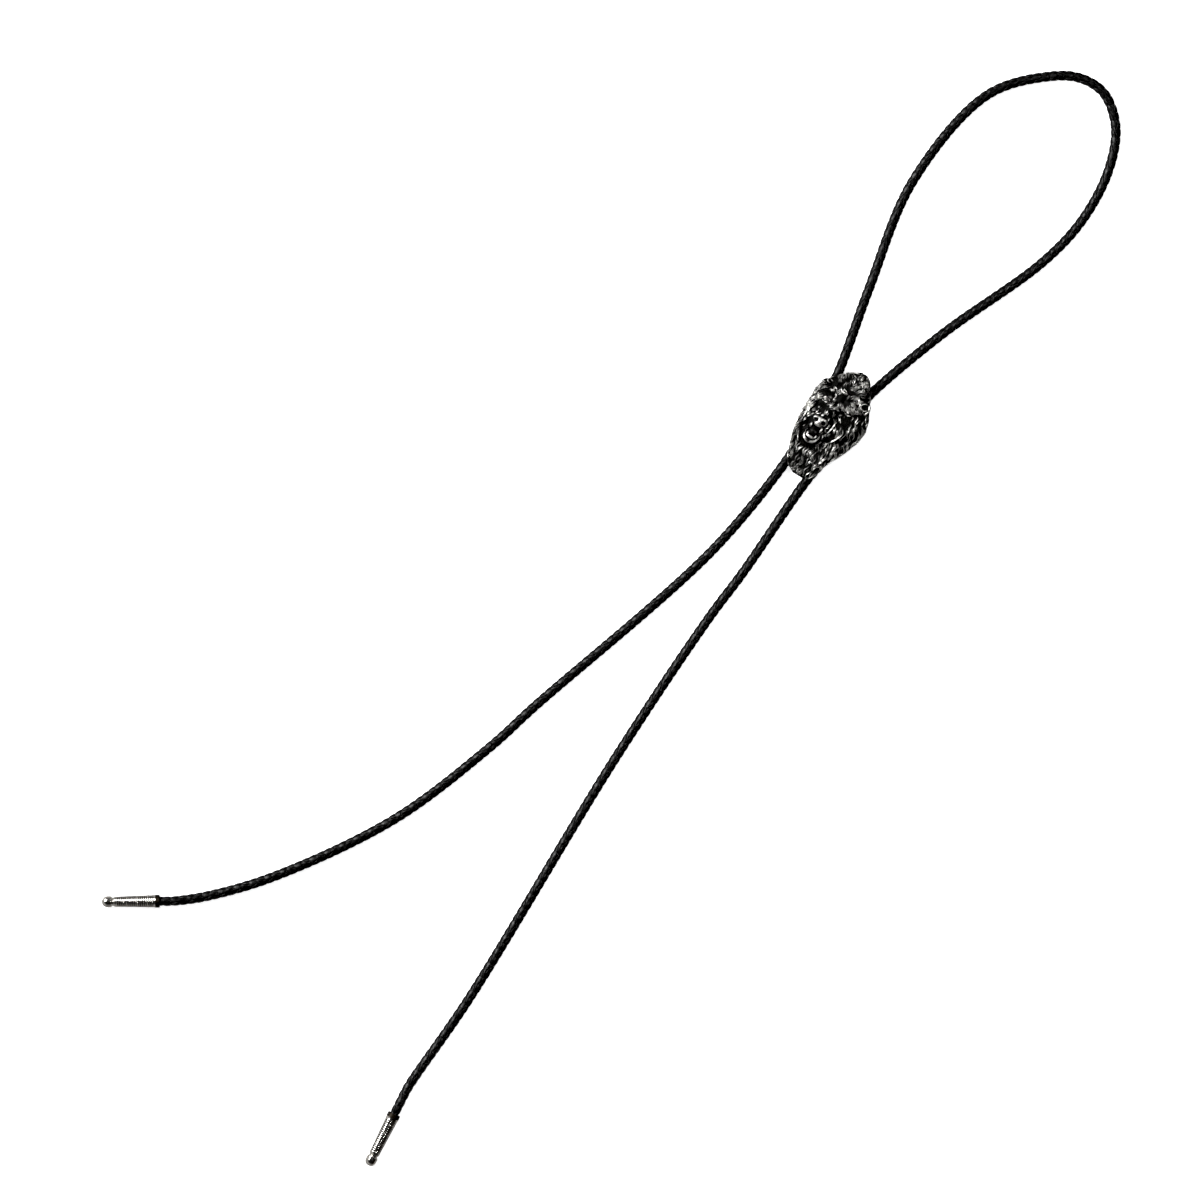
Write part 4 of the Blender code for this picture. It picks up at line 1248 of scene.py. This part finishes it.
place = node(pewter_tree, "ShaderNodeTexCoord").outputs["Object"]
rub = rubbed_and_painted_mask(pewter_tree, place, low=0.25, high=1.5, patch_scale=420.0, patchiness=1.6)
grain = fine_grain(pewter_tree, place, scale=9000.0, cells=0.2, tone_scale=260.0)
color = blend(pewter_tree, rub, PEWTER_BLACK, PEWTER_BRIGHT)
gloss = ramp(pewter_tree, rub, target=(0.62, 0.32))
lead_in(pewter_tree, pewter_shader, color, gloss, grain, strength=0.4, depth=0.02 * MM)
pewter_tree.links.new(ramp(pewter_tree, rub, target=(0.8, 1.0)), pewter_shader.inputs["Metallic"])
pewter_shader.inputs["Specular IOR Level"].default_value = 0.2
for piece in (casting, fur):
    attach(piece, "root")
    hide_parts("slide_casting")
print(pewter.name, len(pewter_tree.nodes), "nodes")

# %% [markdown]
# ## The clip behind the slide
#
# The slide is held by a stamped clip soldered to its back: a plate whose two sides curl round the two
# legs of the cord. It is one piece of plated sheet, bent in one stroke. The section is drawn as its
# middle line, swept along the slide, and given its thickness by Solidify and its burnished edges by
# Bevel. Hardly any of it shows, but it is what the tie hangs by.

# %% Bend the clip
CLIP_CORNER_RADIUS = 1.3 * MM
CLIP_LIP_RISE = 0.9 * MM
CLIP_SECTIONS = 8
CLIP_EDGE = 0.15 * MM
ARC_STEPS = 14


def corner_arc(centre_x, centre_z, radius, first, last):
    """Points on an arc in the XZ plane, angles in degrees from +X towards +Z."""
    angles = np.radians(np.linspace(first, last, ARC_STEPS))
    return [(centre_x + radius * math.cos(a), centre_z + radius * math.sin(a)) for a in angles]


def clip_sheet():
    """Middle line of the clip's sheet in the XZ plane, from the right lip to the left lip."""
    side = CLIP_BORE / 2 + CLIP_WALL / 2
    radius = CLIP_CORNER_RADIUS + CLIP_WALL / 2
    inset = side - radius
    low, high = CHANNEL_HEIGHT - inset, CHANNEL_HEIGHT + inset
    sheet = [(RIGHT_RUN_X - side, CHANNEL_HEIGHT + CLIP_LIP_RISE)]
    for centre_x, centre_z, first in (
            (RIGHT_RUN_X - inset, low, 180), (RIGHT_RUN_X + inset, low, 270), (RIGHT_RUN_X + inset, high, 0),
            (LEFT_RUN_X - inset, high, 90), (LEFT_RUN_X - inset, low, 180), (LEFT_RUN_X + inset, low, 270)):
        sheet += corner_arc(centre_x, centre_z, radius, first, first + 90)
    return sheet + [(LEFT_RUN_X + side, CHANNEL_HEIGHT + CLIP_LIP_RISE)]


section = clip_sheet()
rows = np.linspace(-CLIP_LENGTH / 2, CLIP_LENGTH / 2, CLIP_SECTIONS + 1)
sheet_mesh = bpy.data.meshes.new("sheet")
count = len(section)
sheet_mesh.from_pydata([(x, y, z) for y in rows for x, z in section], [], [
    (r * count + i, r * count + i + 1, (r + 1) * count + i + 1, (r + 1) * count + i)
    for r in range(CLIP_SECTIONS) for i in range(count - 1)])
sheet = linked_object("sheet", sheet_mesh)
wall = sheet.modifiers.new("wall", "SOLIDIFY")
wall.thickness = CLIP_WALL
wall.offset = 0.0
wall.use_even_offset = True
edge = sheet.modifiers.new("edge", "BEVEL")
edge.width = CLIP_EDGE
edge.segments = 2
edge.angle_limit = math.radians(50)
bent = bmesh.new()
bent.from_mesh(baked_mesh(sheet))
clip = finished_object("bent_clip", bent, 35)
print("clip triangles:", triangles(clip.data))

# %% [markdown]
# **Plated steel.** Sheet is rolled before it is stamped, so its grain runs one way, here along the
# channels. The finish stretches the fine grain that way and lets the tone wander a little.

# %% The steel material
STEEL_DULL = (0.46, 0.45, 0.43)
STEEL_BRIGHT = (0.66, 0.65, 0.62)
steel, tree, shader = new_material("rolled_plated_steel")
place = node(tree, "ShaderNodeTexCoord").outputs["Object"]
rolled = node(tree, "ShaderNodeMapping", {"Vector": place, "Scale": (1.0, 0.04, 1.0)})
grain = fine_grain(tree, rolled.outputs["Vector"], scale=6000.0, cells=0.0, tone_scale=400.0)
color = blend(tree, grain.outputs["Tone"], STEEL_DULL, STEEL_BRIGHT)
gloss = ramp(tree, grain.outputs["Height"], target=(0.24, 0.42))
lead_in(tree, shader, color, gloss, grain, strength=0.25, depth=0.01 * MM)
shader.inputs["Metallic"].default_value = 1.0
coat_with(clip, steel)
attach(clip, "root")
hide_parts("back_clip")
print(steel.name, len(tree.nodes), "nodes")

# %% [markdown]
# ## The table and the light
#
# The tie lies on white that the exposure burns out, with nearly no shadow left. The metal tells what
# really stood round it: a broad soft window low on the picture's left, a small lamp high on the
# right, darkness overhead and a dim brown room on the right. So the white floor is kept out of the
# reflections, and a sky with those tones is mirrored in its place. Only the bright tips see the table,
# so a dim card that only reflections can see lies under each of them.

# %% The floor and the cards
FLOOR_SIZE = 9.0
floor_mesh = bmesh.new()
bmesh.ops.create_grid(floor_mesh, x_segments=1, y_segments=1, size=FLOOR_SIZE / 2)
floor = finished_object("floor", floor_mesh)
paper, tree, shader = new_material("white_paper")
fibres = node(tree, "ShaderNodeTexNoise", {"Vector": node(tree, "ShaderNodeTexCoord").outputs["Object"],
                                          "Scale": 900.0, "Detail": 2.0})
tint = blend(tree, fibres.outputs["Fac"], (0.90, 0.90, 0.90), (0.94, 0.94, 0.94))
tree.links.new(tint, shader.inputs["Base Color"])
shader.inputs["Roughness"].default_value = 0.9
shader.inputs["Emission Color"].default_value = (1, 1, 1, 1)
shader.inputs["Emission Strength"].default_value = 0.85
floor.data.materials.append(paper)
floor.visible_glossy = False

CARD_RADIUS = 40 * MM
CARD_LIFT = 0.01 * MM
card_white, tree, shader = new_material("card_white")
shader.inputs["Base Color"].default_value = (0, 0, 0, 1)
shader.inputs["Emission Color"].default_value = (1, 0.98, 0.95, 1)
shader.inputs["Emission Strength"].default_value = 0.28
for name in TIPS:
    mouth, way = tip_axis(name)
    card_mesh = bmesh.new()
    middle = Matrix.Translation((*(mouth + way * TIP_LENGTH / 2).xy, CARD_LIFT))
    bmesh.ops.create_circle(card_mesh, cap_ends=True, segments=32, radius=CARD_RADIUS, matrix=middle)
    card = finished_object("card_under_" + name, card_mesh)
    card.data.materials.append(card_white)
    card.visible_camera = card.visible_diffuse = card.visible_shadow = False
print("cards:", len(TIPS))

# %% The sky
sky = bpy.data.worlds.new("sky")
sky.use_nodes = True
tree = sky.node_tree
way = node(tree, "ShaderNodeTexCoord").outputs["Generated"]
picture_left = (-math.cos(PHOTO_TURN), -math.sin(PHOTO_TURN), 0.0)
side = node(tree, "ShaderNodeVectorMath", {0: way, 1: picture_left}, operation="DOT_PRODUCT")
side = side.outputs["Value"]
rise = node(tree, "ShaderNodeSeparateXYZ", {"Vector": way}).outputs["Z"]
room = ramp(tree, side, (-0.5, 0.9), (0.012, 0.40), interpolation_type="SMOOTHSTEP")
dusk = ramp(tree, rise, (0.15, 0.75), (1.0, 0.01), interpolation_type="SMOOTHSTEP")
warmth = blend(tree, ramp(tree, side, (-0.6, 0.1)), (1.0, 0.78, 0.55), (1.0, 1.0, 1.0))
background = tree.nodes["Background"]
tree.links.new(maths(tree, "MULTIPLY", room, dusk), background.inputs["Strength"])
tree.links.new(warmth, background.inputs["Color"])
bpy.context.scene.world = sky
print("sky:", len(tree.nodes), "nodes")


# %% Lamps
def add_lamp(name, bearing, elevation, distance, size, power):
    """A square lamp that faces the tie. The bearing is counted from the picture's right, anticlockwise."""
    lamp = bpy.data.lights.new(name, "AREA")
    lamp.size = size
    lamp.energy = power
    window = linked_object(name, lamp)
    turn = math.radians(bearing) + PHOTO_TURN
    rise = math.radians(elevation)
    way = Vector((math.cos(turn) * math.cos(rise), math.sin(turn) * math.cos(rise), math.sin(rise)))
    window.location = Vector((*PHOTO_MIDDLE, 0.0)) + way * distance
    window.rotation_euler = (-way).to_track_quat("-Z", "Y").to_euler()


# Columns: bearing and elevation in degrees, distance and size in metres, power in watts.
LAMPS = [
    ("window_left", 148, 40, 1.6, 0.8, 48), ("lamp_right", -15, 66, 1.8, 0.14, 5),
    ("lamp_top", 62, 52, 1.8, 0.3, 5),
]
for lamp in LAMPS:
    add_lamp(*lamp)

# The photograph's blacks are printed full, so the darkest tones are pulled down a little.
BLACK_LEVEL = 0.004
view = bpy.context.scene.view_settings
view.view_transform = "Standard"
view.use_curve_mapping = True
view.curve_mapping.black_level = (BLACK_LEVEL, BLACK_LEVEL, BLACK_LEVEL)
view.curve_mapping.update()
print("lamps:", len(LAMPS))
